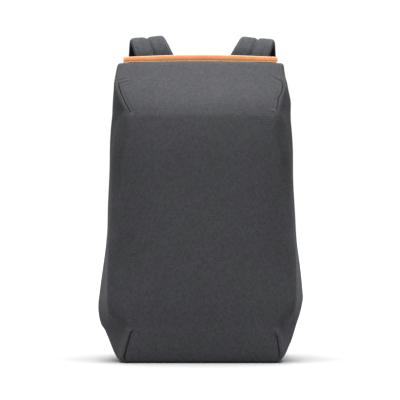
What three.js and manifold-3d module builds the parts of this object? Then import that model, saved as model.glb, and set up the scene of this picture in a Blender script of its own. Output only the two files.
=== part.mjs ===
// An anti-theft backpack that stands on its base: a padded fabric shell with folded corners, closed at the
// back by a zip band and a padded back panel, a tan carry handle on top, and two shoulder straps behind.
// Millimetres, +Z up. The front faces -Y and the wearer's back is at +Y. The origin is the middle of the
// base's underside, half way between the front face and the back panel.
import * as THREE from "three";
import { mergeVertices } from "three/addons/utils/BufferGeometryUtils.js";
import Module from "manifold-3d";

const { lerp } = THREE.MathUtils;
const wasm = await Module();
wasm.setup();

// Body
const BODY_HEIGHT = 450; // floor to the top ridge at its corners
const BODY_WIDTH = 306; // across the widest bulge of the sides
const SHELL_DEPTH = 125; // foremost line of the front to the shell's back rim
const WALL = 3; // outer fabric with its foam backing
const CLEARANCE = 0.3; // between pieces that touch
const TOP_ARCH = 3; // the top ridge is this much higher in the middle
const BOTTOM_ROUNDING = 6;
const RIDGE_ROUNDING = 4;
const FRONT_CROWN = 5; // the front bulges this much between its corners
const DART_LIP = 1.6; // the folded edge stands out this much beside each dart's crease
const DART_DEPTH = 1.8;
const DART_WIDTH = 2.5; // from the crease's bottom to the folded edge

// Pieces on the back rim
const BASE_THICKNESS = 2.5;
const BASE_INSET = 2; // the base panel stops this far inside the shell's lowest section
const BASE_CORNER = 7; // how far from each corner the base panel's edge starts to turn
const ZIP_BAND_DEPTH = 14;
const ZIP_BAND_THICKNESS = 2.2;
const ZIP_BAND_INSET = 1.2; // the band lies this far below the shell's surface
const ZIP_COIL_WIDTH = 5;
const ZIP_COIL_HEIGHT = 1;
const ZIP_END_HEIGHT = 120; // the zip stops here on each side, and the plain gusset goes on below
const SLIDER_LENGTH = 14;
const SLIDER_WIDTH = 8;
const SLIDER_HEIGHT = 4;
const PULL_LENGTH = 30;
const PULL_WIDTH = 6;
const PULL_THICKNESS = 1.6;
const BACK_PANEL_THICKNESS = 9;
const BACK_PANEL_ROUNDING = 4;
const PAD_THICKNESS = 8;
const PAD_ROUNDING = 6; // how far in from its edge each back pad's outer face starts to fall away
const PAD_CORNER = 26; // how far from each corner a back pad's edge starts to turn
const PAD_GAP = 6; // from the webbing's sewn patches up to the lowest pad

// Carry handle and the hand hollow below it
const HANDLE_LENGTH = 232;
const HANDLE_WIDTH = 24;
const HANDLE_THICKNESS = 8;
const HANDLE_CORNER = 3.5;
const HANDLE_LIFT = 0.6; // the handle's middle stands this much clear of the ridge line
const HOLLOW_LENGTH = 176;
const HOLLOW_DEPTH = 20;

// Shoulder straps
const STRAP_RISE = 24; // the inner face of the strap's loop above the body's ridge
const STRAP_REACH = 56; // how far the loop stands off its place flat on the back panel
const STRAP_WIDTH = 58; // at its widest
const STRAP_THICKNESS = 11;
const STRAP_GROOVE = 3; // depth of the seam down the middle of the pad
const LINING_THICKNESS = 2;
const LINING_INSET = 3;
const WEBBING_WIDTH = 25;
const WEBBING_THICKNESS = 1.5;
const WEBBING_TAIL = 90; // free end below the adjuster
const BAR_RADIUS = 1.8; // the adjuster's three bars
const BAR_CLEARANCE = 0.5; // between a bar and the webbing that turns round it
const BAR_GAP = 1.4; // between the webbings that turn round neighbouring bars
const FIRST_BAR = 7; // from the strap's end to the first bar
const RAIL_WIDTH = 3; // the adjuster's two side rails
const RAIL_THICKNESS = 4;
const RAIL_END = 1; // the rails run this much past the outer bars
const ANCHOR_THICKNESS = 2.5;
const ANCHOR_HEIGHT = 46;
const ANCHOR_WIDTH = 34;

// Derived places
const HALF_WIDTH = BODY_WIDTH / 2;
const TOTAL_DEPTH = SHELL_DEPTH + ZIP_BAND_DEPTH + BACK_PANEL_THICKNESS + 2 * CLEARANCE;
const FRONT_Y = -TOTAL_DEPTH / 2;
const RIM_Y = FRONT_Y + SHELL_DEPTH;
const BAND_Y = RIM_Y + CLEARANCE;
const PANEL_Y = BAND_Y + ZIP_BAND_DEPTH + CLEARANCE;
const BACK_Y = PANEL_Y + BACK_PANEL_THICKNESS;
const SHELL_BOTTOM = BASE_THICKNESS + CLEARANCE;
const TURN_RADIUS = BAR_RADIUS + BAR_CLEARANCE + WEBBING_THICKNESS / 2; // of the webbing round a bar
const BAR_PITCH = 2 * TURN_RADIUS + WEBBING_THICKNESS + BAR_GAP;
const ANCHOR_BOTTOM = SHELL_BOTTOM + BACK_PANEL_ROUNDING;
const PAD_ZONE_BOTTOM = ANCHOR_BOTTOM + ANCHOR_HEIGHT + PAD_GAP;
const PAD_ZONE_TOP = 0.82 * BODY_HEIGHT;
const FAR = BODY_HEIGHT + BODY_WIDTH; // beyond everything, for the blocks that cut

// The shell's horizontal sections. z is a share of BODY_HEIGHT. widest, front and rim are half widths as
// shares of HALF_WIDTH: of the whole section, of its flat front and of its back rim. setback and side are
// shares of SHELL_DEPTH: how far the front face and the widest point lie behind the foremost line. corner is
// how softly the front turns into the side, as a share of HALF_WIDTH, and dart how deep the corner fold is.
const SECTIONS = [
  { z: 0.0, widest: 0.735, front: 0.725, rim: 0.71, setback: 0.085, side: 0.3, corner: 0.02, dart: 1 },
  { z: 0.025, widest: 0.827, front: 0.755, rim: 0.77, setback: 0.055, side: 0.36, corner: 0.02, dart: 1 },
  { z: 0.06, widest: 0.875, front: 0.738, rim: 0.82, setback: 0.035, side: 0.42, corner: 0.025, dart: 0.9 },
  { z: 0.105, widest: 0.925, front: 0.722, rim: 0.86, setback: 0.018, side: 0.46, corner: 0.04, dart: 0.5 },
  { z: 0.125, widest: 0.948, front: 0.74, rim: 0.88, setback: 0.014, side: 0.47, corner: 0.1, dart: 0 },
  { z: 0.165, widest: 0.983, front: 0.815, rim: 0.905, setback: 0.006, side: 0.48, corner: 0.18, dart: 0 },
  { z: 0.22, widest: 1.0, front: 0.875, rim: 0.92, setback: 0.0, side: 0.48, corner: 0.16, dart: 0 },
  { z: 0.3, widest: 0.97, front: 0.89, rim: 0.92, setback: 0.0, side: 0.44, corner: 0.14, dart: 0 },
  { z: 0.4, widest: 0.932, front: 0.885, rim: 0.905, setback: 0.0, side: 0.4, corner: 0.13, dart: 0 },
  { z: 0.55, widest: 0.912, front: 0.875, rim: 0.893, setback: 0.006, side: 0.38, corner: 0.13, dart: 0 },
  { z: 0.7, widest: 0.895, front: 0.855, rim: 0.88, setback: 0.02, side: 0.38, corner: 0.14, dart: 0 },
  { z: 0.77, widest: 0.888, front: 0.82, rim: 0.873, setback: 0.052, side: 0.41, corner: 0.16, dart: 0 },
  { z: 0.82, widest: 0.88, front: 0.755, rim: 0.866, setback: 0.115, side: 0.46, corner: 0.08, dart: 0 },
  { z: 0.84, widest: 0.876, front: 0.738, rim: 0.862, setback: 0.155, side: 0.49, corner: 0.03, dart: 0.9 },
  { z: 0.87, widest: 0.873, front: 0.775, rim: 0.857, setback: 0.235, side: 0.54, corner: 0.022, dart: 1 },
  { z: 0.91, widest: 0.856, front: 0.822, rim: 0.846, setback: 0.36, side: 0.61, corner: 0.02, dart: 0.9 },
  { z: 0.945, widest: 0.836, front: 0.828, rim: 0.829, setback: 0.475, side: 0.7, corner: 0.02, dart: 0.4 },
  { z: 0.965, widest: 0.824, front: 0.814, rim: 0.82, setback: 0.545, side: 0.76, corner: 0.02, dart: 0 },
  { z: 1.0, widest: 0.81, front: 0.8, rim: 0.807, setback: 0.66, side: 0.8, corner: 0.02, dart: 0 },
];

// Heights of the shell's rings between its rounded bottom and top edges, as shares of BODY_HEIGHT.
const RING_SHARES = [
  0.04, 0.075, 0.105, 0.125, 0.165, 0.22, 0.28, 0.36, 0.46, 0.58,
  0.7, 0.75, 0.79, 0.82, 0.84, 0.865, 0.89, 0.915, 0.94, 0.96,
];

// The rings of the top panel as shares of the ridge's ring round the panel's middle.
const TOP_SHARES = [0.93, 0.84, 0.72, 0.58, 0.42, 0.22];

// The inner face of one shoulder strap, from its sewn end over the top to its lower end. x is a share of
// HALF_WIDTH, rise of the loop's height above the floor, and reach of STRAP_REACH behind the strap's place
// flat on the back panel. width is a share of STRAP_WIDTH and thick of STRAP_THICKNESS.
const STRAP_ROUTE = [
  { x: 0.35, reach: 0, rise: 0.83, width: 0.9, thick: 0.3 },
  { x: 0.375, reach: 0, rise: 0.88, width: 0.96, thick: 0.8 },
  { x: 0.42, reach: 0.02, rise: 0.935, width: 0.98, thick: 1 },
  { x: 0.485, reach: 0.12, rise: 0.978, width: 0.92, thick: 1 },
  { x: 0.53, reach: 0.35, rise: 1.0, width: 0.87, thick: 1 },
  { x: 0.545, reach: 0.63, rise: 0.991, width: 0.87, thick: 1 },
  { x: 0.555, reach: 0.83, rise: 0.952, width: 0.89, thick: 1 },
  { x: 0.575, reach: 0.95, rise: 0.878, width: 0.93, thick: 1 },
  { x: 0.6, reach: 1.0, rise: 0.774, width: 0.98, thick: 1 },
  { x: 0.632, reach: 0.97, rise: 0.648, width: 1, thick: 1 },
  { x: 0.67, reach: 0.86, rise: 0.523, width: 0.97, thick: 1 },
  { x: 0.715, reach: 0.68, rise: 0.397, width: 0.84, thick: 0.95 },
  { x: 0.755, reach: 0.47, rise: 0.293, width: 0.58, thick: 0.75 },
];
const STRAP_STEPS = 34;

// One strap's cross-section, outer face first: w is a share of the half width, n of the thickness above the
// inner face, and groove says how much of the middle seam is taken off there.
const STRAP_SECTION = [
  { w: -1, n: 0.5, groove: 0 },
  { w: -0.95, n: 0.84, groove: 0 },
  { w: -0.78, n: 1, groove: 0 },
  { w: -0.4, n: 1, groove: 0 },
  { w: -0.13, n: 0.97, groove: 0.3 },
  { w: 0, n: 0.97, groove: 1 },
  { w: 0.13, n: 0.97, groove: 0.3 },
  { w: 0.4, n: 1, groove: 0 },
  { w: 0.78, n: 1, groove: 0 },
  { w: 0.95, n: 0.84, groove: 0 },
  { w: 1, n: 0.5, groove: 0 },
  { w: 0.93, n: 0, groove: 0 },
  { w: -0.93, n: 0, groove: 0 },
];

// Back pads: middle and width as shares of HALF_WIDTH, low and high edges as shares of the pads' zone.
const BACK_PADS = [
  { name: "back_pad_left", x: -0.37, width: 0.6, low: 0.34, high: 1 },
  { name: "back_pad_right", x: 0.37, width: 0.6, low: 0.34, high: 1 },
  { name: "lumbar_pad", x: 0, width: 1.3, low: 0, high: 0.29 },
];

// Finishes, each named for its fabric or stuff.
const FINISHES = {
  shell_fabric: { color: 0x4b4a50, roughness: 0.85, metalness: 0 },
  strap_fabric: { color: 0x5b5b60, roughness: 0.85, metalness: 0 },
  black_mesh: { color: 0x17171a, roughness: 0.9, metalness: 0 },
  black_webbing: { color: 0x1b1b1e, roughness: 0.75, metalness: 0 },
  black_plastic: { color: 0x141416, roughness: 0.45, metalness: 0 },
  tan_leather: { color: 0xdf9a62, roughness: 0.55, metalness: 0 },
};

const group = new THREE.Group();

/** Adds one named piece in its finish to the backpack. */
function addPiece(name, geometry, finish) {
  geometry.computeVertexNormals();
  const piece = new THREE.Mesh(geometry, new THREE.MeshStandardMaterial(FINISHES[finish]));
  piece.name = name;
  group.add(piece);
}

/** A smooth value of one column of a table of rows, at a place along its key column. */
function valueAt(rows, key, column, place) {
  const last = rows.length - 1;
  const held = THREE.MathUtils.clamp(place, rows[0][key], rows[last][key]);
  let i = 0;
  while (i < last - 1 && rows[i + 1][key] < held) i++;
  const [low, high] = [rows[i], rows[i + 1]];
  const [before, after] = [rows[Math.max(i - 1, 0)], rows[Math.min(i + 2, last)]];
  const span = high[key] - low[key];
  const slopeIn = ((high[column] - before[column]) / (high[key] - before[key])) * span;
  const slopeOut = ((after[column] - low[column]) / (after[key] - low[key])) * span;
  const t = (held - low[key]) / span;
  const rise = high[column] - low[column];
  const bend = 3 * rise - 2 * slopeIn - slopeOut;
  const turn = slopeIn + slopeOut - 2 * rise;
  return low[column] + t * (slopeIn + t * (bend + t * turn));
}

/** Points of a soft corner at b between a and c, which starts and ends the given length away from b. */
function softCorner(a, b, c, length, steps) {
  const MOST = 0.48; // two corners on one edge still leave a little of it straight
  const reach = (p) => Math.min(length / b.distanceTo(p), MOST);
  const curve = new THREE.QuadraticBezierCurve(b.clone().lerp(a, reach(a)), b, b.clone().lerp(c, reach(c)));
  return curve.getPoints(steps);
}

/** A closed outline with all its corners softened. */
function softOutline(outline, length, steps) {
  return outline.flatMap((p, i) => {
    const after = outline[(i + 1) % outline.length];
    return softCorner(outline.at(i - 1), p, after, length, steps);
  });
}

/** A closed body through rings with the same number of points, with a fan over each end. */
function loft(rings) {
  const count = rings[0].length;
  const middle = (ring) => ring.reduce((sum, p) => sum.add(p), new THREE.Vector3()).divideScalar(count);
  const points = [...rings.flat(), middle(rings[0]), middle(rings[rings.length - 1])];
  const [startFan, endFan] = [points.length - 2, points.length - 1];
  const lastRing = (rings.length - 1) * count;
  const faces = [];
  for (let i = 0; i < count; i++) {
    const j = (i + 1) % count;
    for (let r = 0; r < lastRing; r += count) {
      faces.push(r + i, r + j, r + count + j, r + i, r + count + j, r + count + i);
    }
    faces.push(startFan, j, i, endFan, lastRing + i, lastRing + j);
  }
  const geometry = new THREE.BufferGeometry().setFromPoints(points);
  geometry.setIndex(faces);
  return outwards(geometry);
}

/** Turns a body's faces round if they point inwards. */
function outwards(geometry) {
  const solid = toSolid(geometry);
  if (solid.volume() < 0) {
    const index = geometry.getIndex().array;
    for (let i = 0; i < index.length; i += 3) {
      [index[i + 1], index[i + 2]] = [index[i + 2], index[i + 1]];
    }
  }
  solid.delete();
  return geometry;
}

/** A closed geometry as a solid that can be cut and joined. */
function toSolid(geometry) {
  const bare = geometry.index ? geometry.toNonIndexed() : geometry.clone();
  for (const name of Object.keys(bare.attributes)) {
    if (name !== "position") bare.deleteAttribute(name);
  }
  const merged = mergeVertices(bare, 1e-4);
  return new wasm.Manifold(
    new wasm.Mesh({
      numProp: 3,
      vertProperties: new Float32Array(merged.attributes.position.array),
      triVerts: new Uint32Array(merged.index.array),
    }),
  );
}

/** A solid back as a geometry. */
function toGeometry(solid) {
  const mesh = solid.getMesh();
  const geometry = new THREE.BufferGeometry();
  geometry.setAttribute("position", new THREE.BufferAttribute(mesh.vertProperties, 3));
  geometry.setIndex(new THREE.BufferAttribute(mesh.triVerts, 1));
  return geometry;
}

/** A box between two corners, each given as [x, y, z]. */
function boxBetween(low, high) {
  const box = new THREE.Box3(new THREE.Vector3(...low), new THREE.Vector3(...high));
  const size = box.getSize(new THREE.Vector3());
  return new THREE.BoxGeometry(...size).translate(...box.getCenter(new THREE.Vector3()));
}

/** Stands an outline drawn in x and z up as a slab from yStart, with soft edges if rounding is above 0. */
function slab(outline, yStart, thickness, rounding = 0, holes = []) {
  const shape = new THREE.Shape(outline);
  shape.holes = holes.map((hole) => new THREE.Path(hole));
  const geometry = new THREE.ExtrudeGeometry(shape, {
    depth: thickness - 2 * rounding,
    bevelEnabled: rounding > 0,
    bevelThickness: rounding,
    bevelSize: rounding,
    bevelOffset: -rounding,
    bevelSegments: 2,
  });
  return geometry.rotateX(Math.PI / 2).translate(0, yStart + thickness - rounding, 0);
}

/** An outline moved inwards by a distance. The outline runs anticlockwise. */
function insetOutline(outline, distance) {
  const LEAST_LEAN = 0.5; // keeps a sharp corner from running far out
  return outline.map((p, i) => {
    const after = outline[(i + 1) % outline.length];
    const into = p.clone().sub(outline.at(i - 1)).normalize();
    const out = after.clone().sub(p).normalize();
    const normal = new THREE.Vector2(-(into.y + out.y), into.x + out.x).normalize();
    const lean = Math.max(LEAST_LEAN, into.cross(normal));
    return p.clone().addScaledVector(normal, distance / lean);
  });
}

/** A half outline on the +X side with its mirror image after it. */
function mirrored(half) {
  return [...half, ...half.slice().reverse().map((p) => new THREE.Vector2(-p.x, p.y))];
}

/** Height of the top ridge over the floor at x. */
function ridgeHeight(x) {
  const share = x / (HALF_WIDTH * valueAt(SECTIONS, "z", "front", 1));
  return BODY_HEIGHT + TOP_ARCH * Math.max(0, 1 - share * share);
}

/** How far a point at height z is raised by the top ridge's arch. */
function archLift(x, z) {
  const ARCH_START = 0.85; // share of the body's height below which nothing is raised
  return (ridgeHeight(x) - BODY_HEIGHT) * THREE.MathUtils.smoothstep(z / BODY_HEIGHT, ARCH_START, 1);
}

/** The three corners of the shell's section at height z on the +X side, as x and y. */
function sectionCorners(z) {
  const column = (name) => valueAt(SECTIONS, "z", name, z / BODY_HEIGHT);
  return {
    frontEdge: new THREE.Vector2(HALF_WIDTH * column("front"), FRONT_Y + SHELL_DEPTH * column("setback")),
    widest: new THREE.Vector2(HALF_WIDTH * column("widest"), FRONT_Y + SHELL_DEPTH * column("side")),
    rim: new THREE.Vector2(HALF_WIDTH * column("rim"), RIM_Y),
  };
}

/**
 * One half of the shell's section at height z, from the middle of the front to the back, as x and y. Where it
 * is to be drawn in by inset, and on the shell's inner face, its corner is softer and its fold shallower.
 */
function halfSection(z, rearY, inset, isInner) {
  const share = z / BODY_HEIGHT;
  const { frontEdge, widest, rim } = sectionCorners(z);
  const corner = HALF_WIDTH * valueAt(SECTIONS, "z", "corner", share) + inset + (isInner ? 2 * WALL : 0);
  const fold = isInner ? 0 : Math.max(0, 1 - inset / BOTTOM_ROUNDING);
  const dart = fold * THREE.MathUtils.clamp(valueAt(SECTIONS, "z", "dart", share), 0, 1);
  const flatEnd = new THREE.Vector2(frontEdge.x - corner - DART_WIDTH, frontEdge.y);
  const crown = FRONT_CROWN * Math.min(1, 4 * share * (1.15 - share));
  const front = [0, 0.3, 0.58, 0.82, 1].map((part) => {
    const bulge = (crown * (1 + Math.cos(Math.PI * part))) / 2;
    return new THREE.Vector2((flatEnd.x - DART_WIDTH) * part, frontEdge.y - bulge);
  });
  const crease = new THREE.Vector2(flatEnd.x, flatEnd.y + DART_DEPTH * dart);
  const bend = softCorner(flatEnd, frontEdge, widest, corner, 4);
  bend[0].y -= DART_LIP * dart;
  const bendEnd = bend[bend.length - 1];
  const swell = [0.35, 0.7].map((part) => {
    const across = Math.sin((part * Math.PI) / 2);
    return new THREE.Vector2(lerp(bendEnd.x, widest.x, across), lerp(bendEnd.y, widest.y, part));
  });
  const fall = [0.35, 0.7].map((part) => {
    const across = 1 - Math.cos((part * Math.PI) / 2);
    return new THREE.Vector2(lerp(widest.x, rim.x, across), lerp(widest.y, rim.y, part));
  });
  return [...front, crease, ...bend, ...swell, widest, ...fall, rim, new THREE.Vector2(rim.x, rearY)];
}

/** The shell's whole section at height z as a ring, drawn in by inset. */
function bodyRing(z, inset, rearY, isInner) {
  const whole = mirrored(halfSection(z, rearY, inset, isInner)).slice(0, -1);
  const ring = inset > 0 ? insetOutline(whole, inset) : whole;
  return ring.map((p) => new THREE.Vector3(p.x, p.y, z + archLift(p.x, z)));
}

/** The top panel's front edge, where the ridge's rounding ends, as y. */
function topFrontY() {
  return FRONT_Y + SHELL_DEPTH * valueAt(SECTIONS, "z", "setback", 1) + RIDGE_ROUNDING;
}

/** Middle of the top panel between its front edge and the back rim. */
function topMiddleY() {
  return (topFrontY() + RIM_Y) / 2;
}

/** Depth of the hand hollow at a point of the top panel. */
function hollowDip(x, y) {
  const across = Math.min(1, Math.abs(2 * x) / HOLLOW_LENGTH);
  const along = Math.min(1, Math.abs(y - topMiddleY()) / (RIM_Y - topMiddleY()));
  return HOLLOW_DEPTH * (1 - across ** 4) ** 2 * (1 - along ** 2) ** 1.5;
}

/** The shell's levels from its underside to its ridge, each with how far its edge is rounded in. */
function shellLevels() {
  const quarter = [0, 0.33, 0.67, 1].map((part) => (part * Math.PI) / 2);
  const bottom = quarter.map((a) => ({
    z: SHELL_BOTTOM + BOTTOM_ROUNDING * (1 - Math.cos(a)),
    inset: BOTTOM_ROUNDING * (1 - Math.sin(a)),
  }));
  const sides = RING_SHARES.map((share) => ({ z: BODY_HEIGHT * share, inset: 0 }));
  const top = quarter.map((a) => ({
    z: BODY_HEIGHT - RIDGE_ROUNDING * (1 - Math.sin(a)),
    inset: RIDGE_ROUNDING * (1 - Math.cos(a)),
  }));
  return [...bottom, ...sides, ...top];
}

/** The rings of the shell's surface from the underside over the sides to the middle of the top panel. */
function shellRings(rearY, isInner) {
  const rings = shellLevels().map(({ z, inset }) => bodyRing(z, inset, rearY, isInner));
  const ridge = rings[rings.length - 1];
  const centreY = topMiddleY();
  for (const share of TOP_SHARES) {
    rings.push(
      ridge.map((p) => {
        const [x, y] = [p.x * share, centreY + (p.y - centreY) * share];
        return new THREE.Vector3(x, y, ridgeHeight(x) - hollowDip(x, y));
      }),
    );
  }
  return rings;
}

/** The same rings moved inwards by a distance along the surface's normals. */
function thicken(rings, distance) {
  const count = rings[0].length;
  return rings.map((ring, r) =>
    ring.map((p, i) => {
      const along = ring[(i + 1) % count].clone().sub(ring[(i + count - 1) % count]);
      const up = rings[Math.min(r + 1, rings.length - 1)][i].clone().sub(rings[Math.max(r - 1, 0)][i]);
      const normal = along.cross(up).normalize();
      if (r === 0) normal.set(0, 0, -1);
      return p.clone().addScaledVector(normal, -distance);
    }),
  );
}

/** The padded shell: front, sides, bottom and top in one, open at its back rim. */
function buildShell() {
  const rearY = RIM_Y + 7 * WALL; // both bodies run past the rim before it is cut flat
  const outer = toSolid(loft(shellRings(rearY, false)));
  const inner = toSolid(loft(thicken(shellRings(rearY, true), WALL)));
  const behindRim = toSolid(boxBetween([-FAR, RIM_Y, -FAR], [FAR, FAR, FAR]));
  return toGeometry(outer.subtract(inner).subtract(behindRim));
}

/** Half width of the back rim at height z. */
function rimHalfWidth(z) {
  return HALF_WIDTH * valueAt(SECTIONS, "z", "rim", z / BODY_HEIGHT);
}

/** The outline of the shell's back rim in x and z, anticlockwise seen from the front. */
function rimOutline() {
  const side = shellLevels().map(({ z, inset }) => new THREE.Vector2(rimHalfWidth(z) - inset, z));
  const corner = side[side.length - 1];
  const top = [0.8, 0.6, 0.4, 0.2].map((part) => {
    return new THREE.Vector2(corner.x * part, ridgeHeight(corner.x * part));
  });
  return mirrored([...side, ...top]);
}

/** The flat base panel under the shell and the back panel. */
function buildBase() {
  const { frontEdge, widest, rim } = sectionCorners(SHELL_BOTTOM);
  const whole = mirrored([frontEdge, widest, rim, new THREE.Vector2(rim.x, BACK_Y)]);
  const shape = new THREE.Shape(softOutline(insetOutline(whole, BASE_INSET), BASE_CORNER, 3));
  return new THREE.ExtrudeGeometry(shape, { depth: BASE_THICKNESS, bevelEnabled: false });
}

/** The whole band round the body behind the rim, from which the zip and the plain gusset are cut. */
function bandRing(raise, yStart, depth) {
  const rim = rimOutline();
  const outer = insetOutline(rim, ZIP_BAND_INSET - raise);
  const inner = insetOutline(rim, ZIP_BAND_INSET + ZIP_BAND_THICKNESS);
  return toSolid(slab(outer, yStart, depth, 0, [inner.reverse()]));
}

/** The zip band over the body's top and sides, with its closed coil standing out in the middle. */
function buildZipBand() {
  const coilY = BAND_Y + (ZIP_BAND_DEPTH - ZIP_COIL_WIDTH) / 2;
  const above = toSolid(boxBetween([-FAR, -FAR, ZIP_END_HEIGHT + CLEARANCE / 2], [FAR, FAR, FAR]));
  const coil = bandRing(ZIP_COIL_HEIGHT, coilY, ZIP_COIL_WIDTH);
  return toGeometry(bandRing(0, BAND_Y, ZIP_BAND_DEPTH).add(coil).intersect(above));
}

/** The plain gusset that goes on from the zip's ends round the body's foot. */
function buildGusset() {
  const below = toSolid(boxBetween([-FAR, -FAR, -FAR], [FAR, FAR, ZIP_END_HEIGHT - CLEARANCE / 2]));
  return toGeometry(bandRing(0, BAND_Y, ZIP_BAND_DEPTH).intersect(below));
}

/** The zip's slider with its pull, one plain piece that lies on the coil at its lower end. */
function buildSlider() {
  const pullTop = SLIDER_LENGTH * 0.3;
  const [halfBody, halfPull] = [SLIDER_WIDTH / 2, PULL_WIDTH / 2];
  const body = boxBetween([0, -halfBody, 0], [SLIDER_HEIGHT, halfBody, SLIDER_LENGTH]);
  const pull = boxBetween(
    [SLIDER_HEIGHT - PULL_THICKNESS, -halfPull, pullTop - PULL_LENGTH],
    [SLIDER_HEIGHT, halfPull, pullTop],
  );
  const bottom = ZIP_END_HEIGHT + CLEARANCE;
  const coilX = (z) => rimHalfWidth(z) - ZIP_BAND_INSET + ZIP_COIL_HEIGHT;
  const [low, high] = [coilX(bottom), coilX(bottom + SLIDER_LENGTH)];
  const slider = toGeometry(toSolid(body).add(toSolid(pull)));
  slider.rotateY(Math.atan2(high - low, SLIDER_LENGTH));
  return slider.translate(Math.max(low, high) + CLEARANCE, BAND_Y + ZIP_BAND_DEPTH / 2, bottom);
}

/** The padded board against the wearer's back. */
function buildBackPanel() {
  return slab(insetOutline(rimOutline(), CLEARANCE), PANEL_Y, BACK_PANEL_THICKNESS, BACK_PANEL_ROUNDING);
}

/** One soft pad on the back panel, flat behind and rounded towards its edges. */
function buildBackPad({ x, width, low, high }) {
  const zoneHeight = PAD_ZONE_TOP - PAD_ZONE_BOTTOM;
  const [left, right] = [HALF_WIDTH * (x - width / 2), HALF_WIDTH * (x + width / 2)];
  const [bottom, top] = [PAD_ZONE_BOTTOM + low * zoneHeight, PAD_ZONE_BOTTOM + high * zoneHeight];
  const corners = [
    new THREE.Vector2(left, bottom),
    new THREE.Vector2(right, bottom),
    new THREE.Vector2(right, top),
    new THREE.Vector2(left, top),
  ];
  const seat = BACK_Y + CLEARANCE;
  const outline = softOutline(corners, PAD_CORNER, 4);
  const whole = toSolid(slab(outline, seat - PAD_THICKNESS, 2 * PAD_THICKNESS, PAD_ROUNDING));
  return toGeometry(whole.subtract(toSolid(boxBetween([-FAR, -FAR, -FAR], [FAR, seat, FAR]))));
}

/** The tan carry handle: a padded band along the top, lifted a little in the middle. */
function buildHandle() {
  const STEPS = 18;
  const [halfY, halfZ] = [HANDLE_WIDTH / 2, HANDLE_THICKNESS / 2];
  const corners = [
    new THREE.Vector2(halfY, -halfZ),
    new THREE.Vector2(halfY, halfZ),
    new THREE.Vector2(-halfY, halfZ),
    new THREE.Vector2(-halfY, -halfZ),
  ];
  const section = softOutline(corners, HANDLE_CORNER, 2);
  const rings = [];
  for (let i = 0; i <= STEPS; i++) {
    const x = HANDLE_LENGTH * (i / STEPS - 0.5);
    const lift = HANDLE_LIFT * Math.max(0, 1 - (2 * x / HOLLOW_LENGTH) ** 2);
    const middle = ridgeHeight(x) + CLEARANCE + lift + halfZ;
    rings.push(section.map((p) => new THREE.Vector3(x, topMiddleY() + p.x, middle + p.y)));
  }
  return loft(rings);
}

/** The points, turned frames and table rows along one strap's inner face. side is 1 on +X and -1 on -X. */
function strapFrames(side) {
  const loopTop = BODY_HEIGHT + STRAP_RISE;
  const seatY = (thick) => BACK_Y + 2 * CLEARANCE + LINING_THICKNESS + STRAP_THICKNESS * thick;
  const points = STRAP_ROUTE.map(
    ({ x, reach, rise, thick }) =>
      new THREE.Vector3(side * HALF_WIDTH * x, seatY(thick) + STRAP_REACH * reach, loopTop * rise),
  );
  const curve = new THREE.CatmullRomCurve3(points, false, "centripetal");
  const axis = new THREE.Vector3(1, 0, 0);
  const places = [];
  for (let i = 0; i <= STRAP_STEPS; i++) {
    const at = curve.getUtoTmapping(i / STRAP_STEPS);
    places.push({ point: curve.getPoint(at), row: at * (STRAP_ROUTE.length - 1), axis });
  }
  for (const { point, row, across } of withFrames(places)) {
    const tilt = (Math.abs(across.y) * STRAP_WIDTH * routeValue("width", row)) / 2;
    point.y = Math.max(point.y, seatY(routeValue("thick", row)) + tilt);
  }
  return withFrames(places);
}

/** Gives each place its tangent, its width direction near the place's axis, and its band's outward normal. */
function withFrames(places) {
  return places.map((place, i) => {
    const before = places[Math.max(i - 1, 0)].point;
    const after = places[Math.min(i + 1, places.length - 1)].point;
    const tangent = after.clone().sub(before).normalize();
    const across = place.axis.clone().addScaledVector(tangent, -place.axis.dot(tangent)).normalize();
    return { ...place, tangent, across, outward: across.clone().cross(tangent) };
  });
}

/** A point of a band: w across it and n above its inner face. */
function bandPoint(frame, w, n) {
  return frame.point.clone().addScaledVector(frame.across, w).addScaledVector(frame.outward, n);
}

/** A column of the strap's route at a place between two of its rows. */
function routeValue(column, row) {
  const i = Math.min(Math.floor(row), STRAP_ROUTE.length - 2);
  return lerp(STRAP_ROUTE[i][column], STRAP_ROUTE[i + 1][column], row - i);
}

/** One padded strap, two soft lobes wide. */
function buildStrapPad(frames) {
  const floor = LINING_THICKNESS + CLEARANCE;
  return loft(
    frames.map((frame) => {
      const half = (STRAP_WIDTH * routeValue("width", frame.row)) / 2;
      const thick = STRAP_THICKNESS * routeValue("thick", frame.row);
      const groove = STRAP_GROOVE * routeValue("thick", frame.row);
      const level = (p) => floor + p.n * thick - p.groove * groove;
      return STRAP_SECTION.map((p) => bandPoint(frame, p.w * half, level(p)));
    }),
  );
}

/** The mesh lining on the inner face of one strap. */
function buildStrapLining(frames) {
  return loft(
    frames.map((frame) => {
      const half = (STRAP_WIDTH * routeValue("width", frame.row)) / 2 - LINING_INSET;
      return flatBandRing(frame, half, 0, LINING_THICKNESS);
    }),
  );
}

/** A flat ring of a band: half is its half width, from low to high above the frame's point. */
function flatBandRing(frame, half, low, high) {
  return [
    bandPoint(frame, -half, low),
    bandPoint(frame, half, low),
    bandPoint(frame, half, high),
    bandPoint(frame, -half, high),
  ];
}

/** The frame at a strap's lower end, where its adjuster hangs: s runs on along the strap, n is outward. */
function adjusterFrame(frames) {
  const end = frames[frames.length - 1];
  const middle = LINING_THICKNESS + CLEARANCE + (STRAP_THICKNESS * routeValue("thick", end.row)) / 2;
  const place = (s, n) => bandPoint(end, 0, middle + n).addScaledVector(end.tangent, s);
  return { ...end, place };
}

/** Place of one of the adjuster's bars, beyond the strap's end. */
function barPlace(number) {
  return FIRST_BAR + BAR_PITCH * number;
}

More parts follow.
